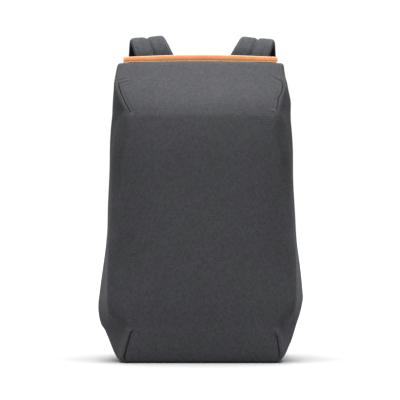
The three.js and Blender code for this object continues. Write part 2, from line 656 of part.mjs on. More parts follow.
/** Points of a half turn round a bar, from its inner side to its outer side, as s and n. */
function turnRound(barAt, towardsPad) {
  const STEPS = 8;
  const points = [];
  for (let i = 0; i <= STEPS; i++) {
    const angle = Math.PI * (i / STEPS - 0.5);
    const ahead = (towardsPad ? -1 : 1) * TURN_RADIUS * Math.cos(angle);
    points.push([barAt + ahead, TURN_RADIUS * Math.sin(angle)]);
  }
  return points;
}

/** A webbing band whose middle line runs through places, each with its axis across the band. */
function webbing(places) {
  const half = WEBBING_THICKNESS / 2;
  return loft(withFrames(places).map((frame) => flatBandRing(frame, WEBBING_WIDTH / 2, -half, half)));
}

/** The short loop that ties the adjuster's first bar to the strap's end. */
function buildAdjusterLoop(at) {
  const route = [[CLEARANCE, -TURN_RADIUS], ...turnRound(barPlace(0), false), [CLEARANCE, TURN_RADIUS]];
  return webbing(route.map(([s, n]) => ({ point: at.place(s, n), axis: at.across })));
}

/** The three-bar plastic adjuster. */
function buildAdjuster(at) {
  const BAR_SIDES = 12;
  const slot = WEBBING_WIDTH / 2 + 2 * CLEARANCE;
  const railLength = 2 * (BAR_PITCH + BAR_RADIUS + RAIL_END);
  const pieces = [-1, 1].map((side) => {
    const rail = new THREE.BoxGeometry(RAIL_WIDTH, railLength, RAIL_THICKNESS);
    return rail.translate(side * (slot + RAIL_WIDTH / 2), barPlace(1), 0);
  });
  for (const number of [0, 1, 2]) {
    const bar = new THREE.CylinderGeometry(BAR_RADIUS, BAR_RADIUS, 2 * slot + RAIL_WIDTH, BAR_SIDES);
    pieces.push(bar.rotateZ(Math.PI / 2).translate(0, barPlace(number), 0));
  }
  const joined = pieces.map(toSolid).reduce((whole, piece) => whole.add(piece));
  const turned = new THREE.Matrix4().makeBasis(at.across, at.tangent, at.outward);
  return toGeometry(joined).applyMatrix4(turned.setPosition(at.place(0, 0)));
}

/** Middle line of the long webbing where it lies on its sewn patch, at a share of the patch's height. */
function anchorPoint(side, share) {
  const x = rimHalfWidth(ANCHOR_BOTTOM + ANCHOR_HEIGHT / 2) - ANCHOR_WIDTH / 2 - BACK_PANEL_ROUNDING;
  const y = BACK_Y + CLEARANCE + ANCHOR_THICKNESS + CLEARANCE + WEBBING_THICKNESS / 2;
  return new THREE.Vector3(side * x, y, ANCHOR_BOTTOM + ANCHOR_HEIGHT * share);
}

/** The long webbing: from its patch up to the adjuster, round the middle bar, and down as a free tail. */
function buildAdjustWebbing(at, side) {
  const CLIMB_STEPS = 14;
  const TAIL_STEPS = 6;
  const STRAIGHT_TAIL = 0.3; // share of the tail that still runs along the strap before it hangs down
  const below = barPlace(2) + BAR_PITCH;
  const turn = turnRound(barPlace(1), true).map(([s, n]) => at.place(s, n));
  const climb = new THREE.CatmullRomCurve3(
    [
      anchorPoint(side, 0.25),
      anchorPoint(side, 0.8),
      at.place(below + BAR_PITCH * 1.5, -TURN_RADIUS),
      at.place(below, -TURN_RADIUS),
      turn[0],
    ],
    false,
    "centripetal",
  );
  const flat = new THREE.Vector3(1, 0, 0);
  const places = [];
  for (let i = 0; i < CLIMB_STEPS; i++) {
    const share = i / CLIMB_STEPS;
    const point = climb.getPoint(share);
    point.y = Math.max(point.y, anchorPoint(side, 0).y);
    const turned = THREE.MathUtils.smoothstep(share, 0.3, 0.8);
    places.push({ point, axis: flat.clone().lerp(at.across, turned) });
  }
  const tailBend = at.place(below + WEBBING_TAIL * STRAIGHT_TAIL, TURN_RADIUS);
  const tailEnd = tailBend.clone().setZ(tailBend.z - WEBBING_TAIL * (1 - STRAIGHT_TAIL));
  const tail = new THREE.QuadraticBezierCurve3(at.place(below, TURN_RADIUS), tailBend, tailEnd);
  for (const point of [...turn, ...tail.getPoints(TAIL_STEPS)]) places.push({ point, axis: at.across });
  return webbing(places);
}

/** The sewn patch that holds the long webbing at the foot of the back panel. */
function buildAnchor(side) {
  const OUTLINE = [
    { x: -1, z: 0 },
    { x: 1, z: 0 },
    { x: 1, z: 0.45 },
    { x: 0.82, z: 1 },
    { x: -0.82, z: 1 },
    { x: -1, z: 0.45 },
  ];
  const middleX = anchorPoint(side, 0).x;
  const outline = OUTLINE.map(({ x, z }) => {
    return new THREE.Vector2(middleX + (ANCHOR_WIDTH / 2) * x, ANCHOR_BOTTOM + ANCHOR_HEIGHT * z);
  });
  return slab(outline, BACK_Y + CLEARANCE, ANCHOR_THICKNESS);
}

addPiece("shell", buildShell(), "shell_fabric");
addPiece("base_panel", buildBase(), "black_webbing");
addPiece("zip_band", buildZipBand(), "black_webbing");
addPiece("lower_gusset", buildGusset(), "shell_fabric");
addPiece("zip_slider", buildSlider(), "black_plastic");
addPiece("back_panel", buildBackPanel(), "shell_fabric");
for (const pad of BACK_PADS) addPiece(pad.name, buildBackPad(pad), "black_mesh");
addPiece("carry_handle", buildHandle(), "tan_leather");

for (const [word, side] of Object.entries({ left: -1, right: 1 })) {
  const frames = strapFrames(side);
  const at = adjusterFrame(frames);
  addPiece(`strap_${word}`, buildStrapPad(frames), "strap_fabric");
  addPiece(`strap_lining_${word}`, buildStrapLining(frames), "black_mesh");
  addPiece(`adjuster_loop_${word}`, buildAdjusterLoop(at), "black_webbing");
  addPiece(`adjuster_${word}`, buildAdjuster(at), "black_plastic");
  addPiece(`webbing_${word}`, buildAdjustWebbing(at, side), "black_webbing");
  addPiece(`anchor_${word}`, buildAnchor(side), "black_webbing");
}

export default group;
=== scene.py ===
"""A charcoal anti theft backpack that stands on its base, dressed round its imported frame.

The frame is in metres. Tables and sizes here are in millimetres, and MM turns them into metres.
The front faces -Y, the wearer's back is at +Y, and +Z is up.
"""

import logging
import math
from dataclasses import dataclass
from enum import Enum
from typing import NamedTuple

import bmesh
import bpy
import numpy as np
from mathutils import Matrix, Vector


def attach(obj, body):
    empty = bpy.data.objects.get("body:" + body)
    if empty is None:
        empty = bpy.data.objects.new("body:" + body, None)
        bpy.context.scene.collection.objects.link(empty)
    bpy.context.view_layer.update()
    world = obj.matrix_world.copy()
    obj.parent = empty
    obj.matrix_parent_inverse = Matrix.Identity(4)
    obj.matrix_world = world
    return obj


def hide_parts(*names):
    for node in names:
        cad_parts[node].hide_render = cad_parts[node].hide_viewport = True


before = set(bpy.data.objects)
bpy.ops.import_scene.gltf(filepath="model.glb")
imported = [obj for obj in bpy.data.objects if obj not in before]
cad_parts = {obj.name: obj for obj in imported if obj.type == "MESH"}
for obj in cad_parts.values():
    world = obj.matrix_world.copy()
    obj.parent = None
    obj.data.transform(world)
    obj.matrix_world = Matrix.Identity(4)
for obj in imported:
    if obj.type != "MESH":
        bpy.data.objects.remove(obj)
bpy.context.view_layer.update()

LOG = logging.getLogger("backpack")
MM = 0.001
Points = np.ndarray
Colour = tuple[float, float, float]
Piece = bpy.types.Object
Material = bpy.types.Material

# Sizes shared by several pieces, in millimetres

BODY_HEIGHT = 450.0
TOP_ARCH = 3.0  # how far the top ridge rises at its middle
SHELL_BOTTOM = 1.8
FRONT_Y = -74.3
RIM_Y = 50.7  # the shell's open back
BAND_Y = 51.0  # where the zip band and the gusset start
BAND_DEPTH = 14.0
PANEL_Y = 65.3  # the back panel's inner face
BACK_Y = 74.3  # and its outer face
CLEARANCE = 0.3  # between pieces that touch
ZIP_END = 120.0  # the height at which the zip gives way to the gusset
WEBBING_WIDTH = 25.0
WEBBING_THICKNESS = 1.5
STITCH_RADIUS = 0.38
BACKWARDS = np.array([0, 1.0, 0])


class Side(Enum):
    """A side of the backpack, seen from the front."""

    LEFT = -1
    RIGHT = 1

    @property
    def word(self) -> str:
        """The side's name in the frame's nodes."""
        return self.name.lower()


# Shader maths


class Wire:
    """A number, colour or vector on its way through a material's nodes."""

    def __init__(self, net: "Net", socket: bpy.types.NodeSocket) -> None:
        """Holds one output socket of the net."""
        self.net = net
        self.socket = socket

    def __add__(self, other: "Wire | float") -> "Wire":
        """Sum."""
        return self.net.math("ADD", self, other)

    __radd__ = __add__

    def __sub__(self, other: "Wire | float") -> "Wire":
        """Difference."""
        return self.net.math("SUBTRACT", self, other)

    def __rsub__(self, other: float) -> "Wire":
        """Difference from a number."""
        return self.net.math("SUBTRACT", other, self)

    def __mul__(self, other: "Wire | float") -> "Wire":
        """Product."""
        return self.net.math("MULTIPLY", self, other)

    __rmul__ = __mul__

    def __truediv__(self, other: "Wire | float") -> "Wire":
        """Quotient."""
        return self.net.math("DIVIDE", self, other)

    def __abs__(self) -> "Wire":
        """Size without sign."""
        return self.net.math("ABSOLUTE", self)

    def __floor__(self) -> "Wire":
        """Next whole number below."""
        return self.net.math("FLOOR", self)

    def sine(self) -> "Wire":
        """Sine."""
        return self.net.math("SINE", self)


class Net:
    """The nodes of one material."""

    def __init__(self, name: str) -> None:
        """Starts an empty material.

        Args:
            name: The material's name.
        """
        self.material = bpy.data.materials.new(name)
        self.material.use_nodes = True
        self.tree = self.material.node_tree
        self.tree.nodes.clear()

    def node(self, kind: str, settings: dict, inputs: dict, output: int | str = 0) -> Wire:
        """Adds one node.

        Args:
            kind: The node's type.
            settings: The node's own settings, which are set first.
            inputs: Values or wires by socket name or place.
            output: The output that is wanted.

        Returns:
            The wire that leaves the node.
        """
        made = self.tree.nodes.new(kind)
        for key, value in settings.items():
            setattr(made, key, value)
        for key, value in inputs.items():
            if isinstance(value, Wire):
                self.tree.links.new(value.socket, made.inputs[key])
            else:
                made.inputs[key].default_value = value
        return Wire(self, made.outputs[output])

    def math(self, operation: str, *values: Wire | float) -> Wire:
        """Adds a Math node for the operation on the values."""
        return self.node("ShaderNodeMath", {"operation": operation}, dict(enumerate(values)))

    def cloth(self) -> tuple[Wire, Wire, Wire]:
        """The cloth coordinates that the mesh carries.

        Returns:
            Metres across the cloth, metres along it, and the tone.
        """
        carried = self.node("ShaderNodeAttribute", {"attribute_name": "cloth"}, {}, "Vector")
        parts = self.node("ShaderNodeSeparateXYZ", {}, {0: carried})
        return tuple(Wire(self, output) for output in parts.socket.node.outputs)

    def solid(self) -> Wire:
        """The place inside the object."""
        return self.node("ShaderNodeTexCoord", {}, {}, "Object")

    def vector(self, x: Wire | float, y: Wire | float, z: Wire | float = 0.0) -> Wire:
        """A vector of three numbers."""
        return self.node("ShaderNodeCombineXYZ", {}, {0: x, 1: y, 2: z})

    def noise(self, at: Wire, scale: float, detail: float = 2.0, roughness: float = 0.5) -> Wire:
        """Soft noise from 0 to 1, with so many features per unit and so many octaves."""
        inputs = {"Vector": at, "Scale": scale, "Detail": detail, "Roughness": roughness}
        return self.node("ShaderNodeTexNoise", {}, inputs)

    def between(self, value: Wire, low: float, high: float) -> Wire:
        """A smooth step from 0 at low to 1 at high."""
        inputs = {"Value": value, "From Min": low, "From Max": high}
        return self.node("ShaderNodeMapRange", {"interpolation_type": "SMOOTHSTEP"}, inputs)

    def mix(self, amount: Wire, first: "Wire | Colour", second: "Wire | Colour") -> Wire:
        """Blends two colours: the first at an amount of 0, the second at 1."""
        ends = [c if isinstance(c, Wire) else (*c, 1.0) for c in (first, second)]
        return self.node("ShaderNodeMix", {"data_type": "RGBA"}, {0: amount, 6: ends[0], 7: ends[1]}, 2)

    def shaded(self, colour: Wire, factor: Wire) -> Wire:
        """A colour made lighter or darker by a factor."""
        return self.node("ShaderNodeVectorMath", {"operation": "SCALE"}, {0: colour, "Scale": factor})

    def bumped(self, height: Wire, distance: float) -> Wire:
        """The normal under a relief from 0 to 1, where 1 stands so many metres high."""
        return self.node("ShaderNodeBump", {}, {"Strength": 1.0, "Distance": distance, "Height": height})

    def surface(self, inputs: dict) -> Material:
        """Ends the net in a surface.

        Args:
            inputs: Values or wires by socket name.

        Returns:
            The material.
        """
        shader = self.node("ShaderNodeBsdfPrincipled", {}, inputs)
        out = self.tree.nodes.new("ShaderNodeOutputMaterial")
        self.tree.links.new(shader.socket, out.inputs["Surface"])
        return self.material


# Finishes


@dataclass(frozen=True)
class WovenCloth:
    """Plain-woven melange polyester: threads of two greys, speckled along their length.

    The mesh carries "cloth": metres across and along the cloth, and a tone of painted light and shade,
    below 0 where shade is painted, as in a fold, and above 0 where light is painted, as on its edge.

    Attributes:
        name: The material's name.
        dark: The darker threads.
        light: The lighter threads.
        pitch: From one thread to the next.
        relief: How high the threads stand.
        looseness: How far a thread wanders, in pitches.
        wanders: Bends of a thread per metre.
        streaks: Shades of a thread per metre.
        speckles: Specks of fibre per metre.
        patches: Uneven patches per metre.
        casts: Cooler and greener areas per metre.
        depth: How much the tone changes the grey.
    """

    name: str
    dark: Colour
    light: Colour
    pitch: float = 1.5 * MM
    relief: float = 0.22 * MM
    looseness: float = 2.4
    wanders: float = 60.0
    streaks: float = 160.0
    speckles: float = 560.0
    patches: float = 26.0
    casts: float = 17.0
    depth: float = 0.5

    def material(self) -> Material:
        """Makes the cloth's material.

        Returns:
            The material.
        """
        net = Net(self.name)
        across, along, tone = net.cloth()
        loose = net.noise(net.vector(across, along, 5.0), self.wanders, 1.0) * (self.looseness * self.pitch)
        warp = ((across + loose) * (math.pi / self.pitch)).sine()
        weft = ((along + loose) * (math.pi / self.pitch)).sine()
        warp_up = net.between(warp * weft, -0.3, 0.3)
        height = abs(warp) * warp_up + abs(weft) * (1 - warp_up)
        warp_thread = net.vector(math.floor(across / self.pitch) * 1.7, along * self.streaks)
        weft_thread = net.vector(across * self.streaks, math.floor(along / self.pitch) * 1.3, 7.0)
        warp_grey, weft_grey = net.noise(warp_thread, 1.0, 1.0), net.noise(weft_thread, 1.0, 1.0)
        thread = warp_grey * warp_up + weft_grey * (1 - warp_up)
        place = net.vector(across, along)
        speckle = net.noise(place, self.speckles, 2.0, 0.7)
        patch = net.noise(place, self.patches, 3.0, 0.6)
        hue = net.noise(net.vector(across, along, 3.0), self.casts, 2.0)
        grey = net.mix(net.between(thread, 0.3, 0.7), self.dark, self.light)
        cast = net.mix(net.between(hue, 0.35, 0.65), (1.03, 0.99, 1.06), (0.96, 1.02, 1.0))
        tinted = net.node("ShaderNodeVectorMath", {"operation": "MULTIPLY"}, {0: grey, 1: cast})
        uneven = (speckle - 0.5) * 0.35 + (patch - 0.5) * 0.16
        # The grey is darker where the weave lies low: painted shade between the threads.
        factor = 1 + tone * self.depth + uneven + (height - 0.6) * 0.3 + (warp_up - 0.5) * 0.3
        return net.surface(
            {
                "Base Color": net.shaded(tinted, factor),
                "Roughness": 0.8 + (speckle - 0.5) * 0.2,
                "Normal": net.bumped(height * 0.6 + speckle * 0.4, self.relief),
                "Specular IOR Level": 0.12,
            }
        )


@dataclass(frozen=True)
class SpacerMesh:
    """Black spacer mesh with rows of small round holes."""

    name: str
    thread: Colour = (0.011, 0.011, 0.0122)
    hole: Colour = (0.003, 0.003, 0.003)
    pitch: float = 3.4 * MM
    relief: float = 0.7 * MM
    fibres: float = 1400.0

    def material(self) -> Material:
        """Makes the mesh fabric's material: its holes lie where three waves at 60 degrees have their crests.

        Returns:
            The material.
        """
        net = Net(self.name)
        across, along, tone = net.cloth()
        turn = 4 * math.pi / (math.sqrt(3) * self.pitch)
        waves = [
            (across * (turn * math.cos(a)) + along * (turn * math.sin(a)) + math.pi / 2).sine()
            for a in (0.0, math.pi / 3, 2 * math.pi / 3)
        ]
        hole = net.between(waves[0] + waves[1] + waves[2], 0.4, 1.7)
        fibre = net.noise(net.vector(across, along), self.fibres, 2.0)
        # The holes' darker colour is painted shade in their depth.
        colour = net.mix(hole, self.thread, self.hole)
        return net.surface(
            {
                "Base Color": net.shaded(colour, 0.8 + fibre * 0.5 + tone * 0.4),
                "Roughness": 0.75 + fibre * 0.2,
                "Normal": net.bumped((1 - hole) * 0.85 + fibre * 0.15, self.relief),
                "Specular IOR Level": 0.1,
            }
        )


@dataclass(frozen=True)
class Webbing:
    """Black polyester webbing in a herringbone weave: ribs that zigzag from column to column."""

    name: str
    dark: Colour = (0.009, 0.009, 0.010)
    light: Colour = (0.028, 0.028, 0.031)
    rib: float = 2.0 * MM
    column: float = 6.25 * MM
    relief: float = 0.3 * MM
    slope: float = 1.2
    fibres: float = 900.0

    def material(self) -> Material:
        """Makes the webbing's material.

        Returns:
            The material.
        """
        net = Net(self.name)
        across, along, tone = net.cloth()
        zigzag = net.math("PINGPONG", across, self.column / 2)
        rib = abs(((along + zigzag * self.slope) * (math.pi / self.rib)).sine())
        seam = abs((across * (math.pi / self.column)).sine())
        fibre = net.noise(net.vector(across * 3.0, along), self.fibres, 2.0)
        # The grey follows the ribs' height: painted shade between the ribs and painted light on their crests.
        grey = net.mix(net.between(rib, 0.2, 0.95), self.dark, self.light)
        return net.surface(
            {
                "Base Color": net.shaded(grey, 0.75 + fibre * 0.5 + tone * 0.3),
                "Roughness": 0.55 + fibre * 0.25,
                "Normal": net.bumped(rib * 0.7 + net.between(seam, 0.0, 0.35) * 0.3, self.relief),
                "Specular IOR Level": 0.35,
                "Sheen Weight": 0.05,
            }
        )


@dataclass(frozen=True)
class MouldedPlastic:
    """Moulded plastic with a fine spark-eroded grain."""

    name: str
    colour: Colour = (0.010, 0.010, 0.011)
    roughness: float = 0.38
    relief: float = 0.05 * MM

    def material(self) -> Material:
        """Makes the plastic's material.

        Returns:
            The material.
        """
        net = Net(self.name)
        grain = net.noise(net.solid(), 2600.0, 2.0)
        smear = net.noise(net.solid(), 90.0, 3.0)
        return net.surface(
            {
                "Base Color": net.mix(smear, self.colour, tuple(1.5 * c for c in self.colour)),
                "Roughness": self.roughness + (smear - 0.5) * 0.25,
                "Normal": net.bumped(grain, self.relief),
            }
        )


@dataclass(frozen=True)
class TanLeather:
    """Smooth tan leather: paler on its cut edge, at a tone of 1, and darker on its top face, at -1, where
    shade is painted.
    """

    name: str
    tan: Colour = (0.70, 0.285, 0.105)
    deep: Colour = (0.62, 0.235, 0.080)
    edge: Colour = (0.80, 0.47, 0.26)
    relief: float = 0.12 * MM
    # How much painted shade darkens the top face.
    darkening: float = 0.56

    def material(self) -> Material:
        """Makes the leather's material.

        Returns:
            The material.
        """
        net = Net(self.name)
        across, along, tone = net.cloth()
        place = net.vector(across, along)
        pores = net.node("ShaderNodeTexVoronoi", {}, {"Vector": place, "Scale": 620.0}, "Distance")
        grain = net.noise(place, 900.0, 3.0, 0.6)
        cloud = net.noise(place, 30.0, 3.0, 0.6)
        fibres = net.noise(net.vector(across * 0.3, along * 2.0), 700.0, 2.0)
        cut = net.between(tone, 0.45, 0.75)
        raw = net.mix(fibres, tuple(0.85 * c for c in self.edge), tuple(1.15 * c for c in self.edge))
        face = net.mix(net.between(cloud, 0.3, 0.7), self.deep, self.tan)
        # Painted shade on the top face, where the tone is below 0.
        painted_top_shade = 1 - self.darkening * net.between(0 - tone, 0.1, 1.0)
        grain_and_painted_shade = net.shaded(face, (0.88 + grain * 0.24) * painted_top_shade)
        return net.surface(
            {
                "Base Color": net.mix(cut, grain_and_painted_shade, raw),
                "Roughness": 0.42 + grain * 0.12 + cut * 0.25,
                "Normal": net.bumped(pores * 0.7 + grain * 0.3, self.relief),
                "Specular IOR Level": 0.45,
            }
        )


@dataclass(frozen=True)
class SewingThread:
    """Twisted sewing thread."""

    name: str
    colour: Colour
    relief: float = 0.1 * MM

    def material(self) -> Material:
        """Makes the thread's material.

        Returns:
            The material.
        """
        net = Net(self.name)
        twist = net.noise(net.solid(), 1500.0, 1.0)
        return net.surface(
            {
                "Base Color": net.mix(twist, self.colour, tuple(min(1.0, 1.35 * c) for c in self.colour)),
                "Roughness": 0.5 + twist * 0.2,
                "Normal": net.bumped(twist, self.relief),
            }
        )


class Finishes:
    """Every material of the backpack, each made once."""

    def __init__(self) -> None:
        """Makes the materials."""
        self.shell_cloth = WovenCloth(
            "shell_cloth", dark=(0.025, 0.0252, 0.0275), light=(0.040, 0.0403, 0.044)
        ).material()
        self.strap_cloth = WovenCloth(
            "strap_cloth", dark=(0.0235, 0.0256, 0.0268), light=(0.040, 0.043, 0.0452)
        ).material()
        self.spacer_mesh = SpacerMesh("spacer_mesh").material()
        self.webbing = Webbing("black_webbing").material()
        self.zip_tape = Webbing("zip_tape", rib=1.1 * MM, column=3.5 * MM, relief=0.12 * MM).material()
        self.plastic = MouldedPlastic("satin_plastic").material()
        self.coil = MouldedPlastic("zip_coil", (0.016, 0.016, 0.018), 0.3).material()
        self.leather = TanLeather("tan_leather").material()
        self.tan_thread = SewingThread("tan_thread", (0.42, 0.20, 0.09)).material()
        self.grey_thread = SewingThread("grey_thread", (0.05, 0.05, 0.056)).material()
        self.black_thread = SewingThread("black_thread", (0.02, 0.02, 0.022)).material()


# Curves and grids of points


def row_value(places: Points, values: Points, at: Points) -> Points:
    """A smooth value between the rows of a table.

    Args:
        places: The rows' places, rising.
        values: The rows' values.
        at: The places that are asked for.

    Returns:
        The values there, on a cubic through every row.
    """
    at = np.clip(at, places[0], places[-1])
    i = np.clip(np.searchsorted(places, at) - 1, 0, len(places) - 2)
    before = np.maximum(i - 1, 0)
    after = np.minimum(i + 2, len(places) - 1)
    span = places[i + 1] - places[i]
    start = (values[i + 1] - values[before]) / (places[i + 1] - places[before]) * span
    end = (values[after] - values[i]) / (places[after] - places[i]) * span
    t = (at - places[i]) / span
    rise = values[i + 1] - values[i]
    return values[i] + t * (start + t * (3 * rise - 2 * start - end + t * (start + end - 2 * rise)))


def step(value: Points, low: float, high: float) -> Points:
    """A smooth step from 0 at low to 1 at high, or back if low is above high."""
    t = np.clip((value - low) / (high - low), 0, 1)
    return t * t * (3 - 2 * t)


def bell(value: Points, middle: float, width: float) -> Points:
    """1 at the middle, falling off softly over the width."""
    return np.exp(-(((value - middle) / width) ** 2))


def boxed(wave: Points, power: float) -> Points:
    """A sine or cosine pushed out towards a square wave by a power below 1."""
    return np.sign(wave) * np.abs(wave) ** power


def full_turn(count: int) -> Points:
    """Angles of a full turn, evenly spaced."""
    return np.linspace(0, 2 * math.pi, count + 1)[:-1]


def unit(vectors: Points) -> Points:
    """The vectors' directions."""
    return vectors / np.linalg.norm(vectors, axis=-1, keepdims=True)


def lengths_along(points: Points, axis: int) -> Points:
    """Distance travelled along a grid of points.

    Args:
        points: The grid.
        axis: 0 to travel from row to row, 1 from column to column.

    Returns:
        The distance of each point from the first.
    """
    steps = np.linalg.norm(np.diff(points, axis=axis), axis=-1)
    start = np.zeros_like(np.take(steps, [0], axis=axis))
    return np.cumsum(np.concatenate([start, steps], axis=axis), axis=axis)


def travelled(path: Points) -> Points:
    """Distance travelled along a path."""
    return lengths_along(path[None], 1)[0]


def read_along(travel: Points, values: Points, at: Points) -> Points:
    """A path's values, given at rising distances, read at other distances."""
    return np.stack([np.interp(at, travel, column) for column in values.T], -1)


def grid_normals(points: Points) -> Points:
    """Normals of a grid of points, to the left of its rows seen along its columns."""
    normal = np.cross(np.gradient(points, axis=1), np.gradient(points, axis=0))
    return normal / np.maximum(np.linalg.norm(normal, axis=-1, keepdims=True), 1e-9)


def laid(across: Points, along: Points, tone: Points | float = 0.0) -> Points:
    """Cloth coordinates, in millimetres, with their tones."""
    return np.stack(np.broadcast_arrays(across, along, tone), -1).astype(float)


def drawn_in(ring: Points, shares: Points, centre: Points) -> Points:
    """Copies of a ring drawn in towards a centre, each by a share from 1 to 0."""
    return centre + (ring[None] - centre) * np.asarray(shares)[:, None, None]


def stacked(ring: Points, centre: Points, levels: list[tuple[float, float]], up: Points) -> Points:
    """Copies of a ring, each drawn in and moved in one direction.

    Args:
        ring: The ring.
        centre: What it is drawn in towards.
        levels: A share from 1 to 0 and a distance for each copy.
        up: The direction.

    Returns:
        The copies.
    """
    shares, distances = np.array(levels, float).T
    return drawn_in(ring, shares, centre) + distances[:, None, None] * up


def ripple(points: Points, reach: float, seed: int, waves: int = 6) -> Points:
    """Soft undulation from about -1 to 1.

    Args:
        points: Where it is read, in millimetres.
        reach: How far apart its humps are.
        seed: Which undulation it is.
        waves: How many waves it is made of.

    Returns:
        Its value at each point.
    """
    draw = np.random.default_rng(seed)
    total = np.zeros(points.shape[:-1])
    for _ in range(waves):
        heading = draw.normal(size=3)
        heading *= draw.uniform(0.7, 1.5) * 2 * math.pi / reach / np.linalg.norm(heading)
        total += np.sin(points @ heading + draw.uniform(0, 2 * math.pi))
    return total * 2 / waves


def smooth_route(points: Points, steps: int) -> tuple[Points, Points]:
    """A centripetal curve through points.

    Args:
        points: The points.
        steps: How many steps it gets between two of them.

    Returns:
        The curve's points and their places, counted in the given points.
    """
    first, last = 2 * points[0] - points[1], 2 * points[-1] - points[-2]
    held = np.concatenate([[first], points, [last]])
    gaps = np.linalg.norm(np.diff(held, axis=0), axis=1) ** 0.5
    places = np.linspace(0, len(points) - 1, steps * (len(points) - 1) + 1)
    i = np.minimum(places.astype(int), len(points) - 2)
    t = (places - i)[:, None]
    p0, p1, p2, p3 = (held[i + k] for k in range(4))
    d0, d1, d2 = (gaps[i + k][:, None] for k in range(3))
    leave = ((p1 - p0) / d0 - (p2 - p0) / (d0 + d1) + (p2 - p1) / d1) * d1
    arrive = ((p2 - p1) / d1 - (p3 - p1) / (d1 + d2) + (p3 - p2) / d2) * d1
    rise = p2 - p1
    return p1 + t * (leave + t * (3 * rise - 2 * leave - arrive + t * (leave + arrive - 2 * rise))), places


class Frames(NamedTuple):
    """Points along a band with the directions across it, outwards from it and on along it."""

    point: Points
    across: Points
    outward: Points
    tangent: Points

    @classmethod
    def along(cls, points: Points, axis: Points) -> "Frames":
        """Frames along points.

        Args:
            points: The points.
            axis: The width direction that each frame stays near.

        Returns:
            The frames.
        """
        tangent = unit(np.gradient(points, axis=0))
        across = unit(axis - tangent * np.sum(axis * tangent, axis=1, keepdims=True))
        return cls(points, across, np.cross(across, tangent), tangent)

    def place(self, w: Points | float, n: Points | float) -> Points:
        """Points w across the band and n above its inner face, one for each frame."""
        w, n = (np.broadcast_to(value, self.point.shape[:1])[:, None] for value in (w, n))
        return self.point + self.across * w + self.outward * n

    def rings(self, w: Points, n: Points) -> Points:
        """A ring of points for each frame, w across the band and n above its inner face."""
        across, outward = self.across[:, None] * w[..., None], self.outward[:, None] * n[..., None]
        return self.point[:, None] + across + outward


# Meshes


class Skin:
    """A mesh in the making: points in millimetres, faces, and the cloth coordinates of the points."""

    def __init__(self) -> None:
        """Starts with nothing."""
        self.points: list[Points] = []
        self.cloth: list[Points] = []
        self.faces: list[tuple[int, ...]] = []
        self.count = 0

    def add(self, points: Points, cloth: Points, faces: Points | list) -> int:
        """Adds loose points and faces.

        Args:
            points: Their places.
            cloth: Their cloth coordinates, in millimetres, and their tones.
            faces: Their faces, numbered from 0.

        Returns:
            The number of the first of them in the whole skin.
        """
        start = self.count
        self.points.append(points.reshape(-1, 3))
        self.cloth.append(cloth.reshape(-1, 3))
        self.faces.extend(tuple(int(i) + start for i in face) for face in faces)
        self.count += len(self.points[-1])
        return start

    def grid(
        self, points: Points, cloth: Points | None = None, wrap: bool = True, caps: bool = False
    ) -> None:
        """Adds rows and columns of points with faces between them.

        Args:
            points: Rows by columns by 3.
            cloth: The same shape, or nothing where the finish doesn't read it.
            wrap: Whether the last column joins the first.
            caps: Whether the first and last rows are closed.
        """
        rows, columns = points.shape[:2]
        r, c = np.meshgrid(np.arange(rows - 1), np.arange(columns if wrap else columns - 1), indexing="ij")
        near = r * columns + c
        after = r * columns + (c + 1) % columns
        quads = np.stack([near, after, after + columns, near + columns], -1).reshape(-1, 4)
        start = self.add(points, points * 0 if cloth is None else cloth, quads)
        if caps:
            first = tuple(start + i for i in range(columns))
            last = tuple(start + (rows - 1) * columns + i for i in range(columns))
            self.faces.extend([first[::-1], last])

    def scatter(self, pattern: "Skin", centres: Points, along: Points, out: Points) -> None:
        """Puts a copy of a small pattern at every centre.

        Args:
            pattern: The pattern, along X with +Z outwards.
            centres: Where they go.
            along: The direction of each one's X.
            out: The direction near each one's Z.
        """
        along = unit(along)
        across = unit(np.cross(out, along))
        axes = np.stack([along, across, np.cross(along, across)], 1)
        copies = centres[:, None] + np.einsum("pk,nkj->npj", np.concatenate(pattern.points), axes)
        for copy in copies:
            self.add(copy, copy * 0, pattern.faces)

    def stitch(self, path: Points, out: Points, pitch: float = 4.2, length: float = 3.0) -> None:
        """Sews a row of stitches.

        Args:
            path: The row's points.
            out: The surface's normal, at each of them or at all.
            pitch: From one stitch to the next.
            length: Of a stitch.
        """
        travel = travelled(path)
        count = max(2, round(travel[-1] / pitch))
        middles = (np.arange(count) + 0.5) * travel[-1] / count
        along = read_along(travel, path, middles + 1) - read_along(travel, path, middles - 1)
        out = read_along(travel, np.broadcast_to(out, path.shape), middles)
        self.scatter(capsule(length / 2, STITCH_RADIUS, 5), read_along(travel, path, middles), along, out)

    def make(self, name: str, material: Material, closed: bool = True) -> Piece:
        """Makes the object.

        Args:
            name: The piece's name.
            material: Its finish.
            closed: Whether its faces are turned outwards by their own volume.

        Returns:
            The object, in metres.
        """
        mesh = bpy.data.meshes.new(name)
        mesh.from_pydata((np.concatenate(self.points) * MM).tolist(), [], self.faces)
        cloth = np.concatenate(self.cloth).astype(float)
        cloth[:, :2] *= MM
        mesh.attributes.new("cloth", "FLOAT_VECTOR", "POINT").data.foreach_set("vector", cloth.ravel())
        if closed:
            turned = bmesh.new()
            turned.from_mesh(mesh)
            bmesh.ops.recalc_face_normals(turned, faces=turned.faces)
            turned.to_mesh(mesh)
            turned.free()
        mesh.polygons.foreach_set("use_smooth", [True] * len(mesh.polygons))
        mesh.materials.append(material)
        made = bpy.data.objects.new(name, mesh)
        bpy.context.scene.collection.objects.link(made)
        return made


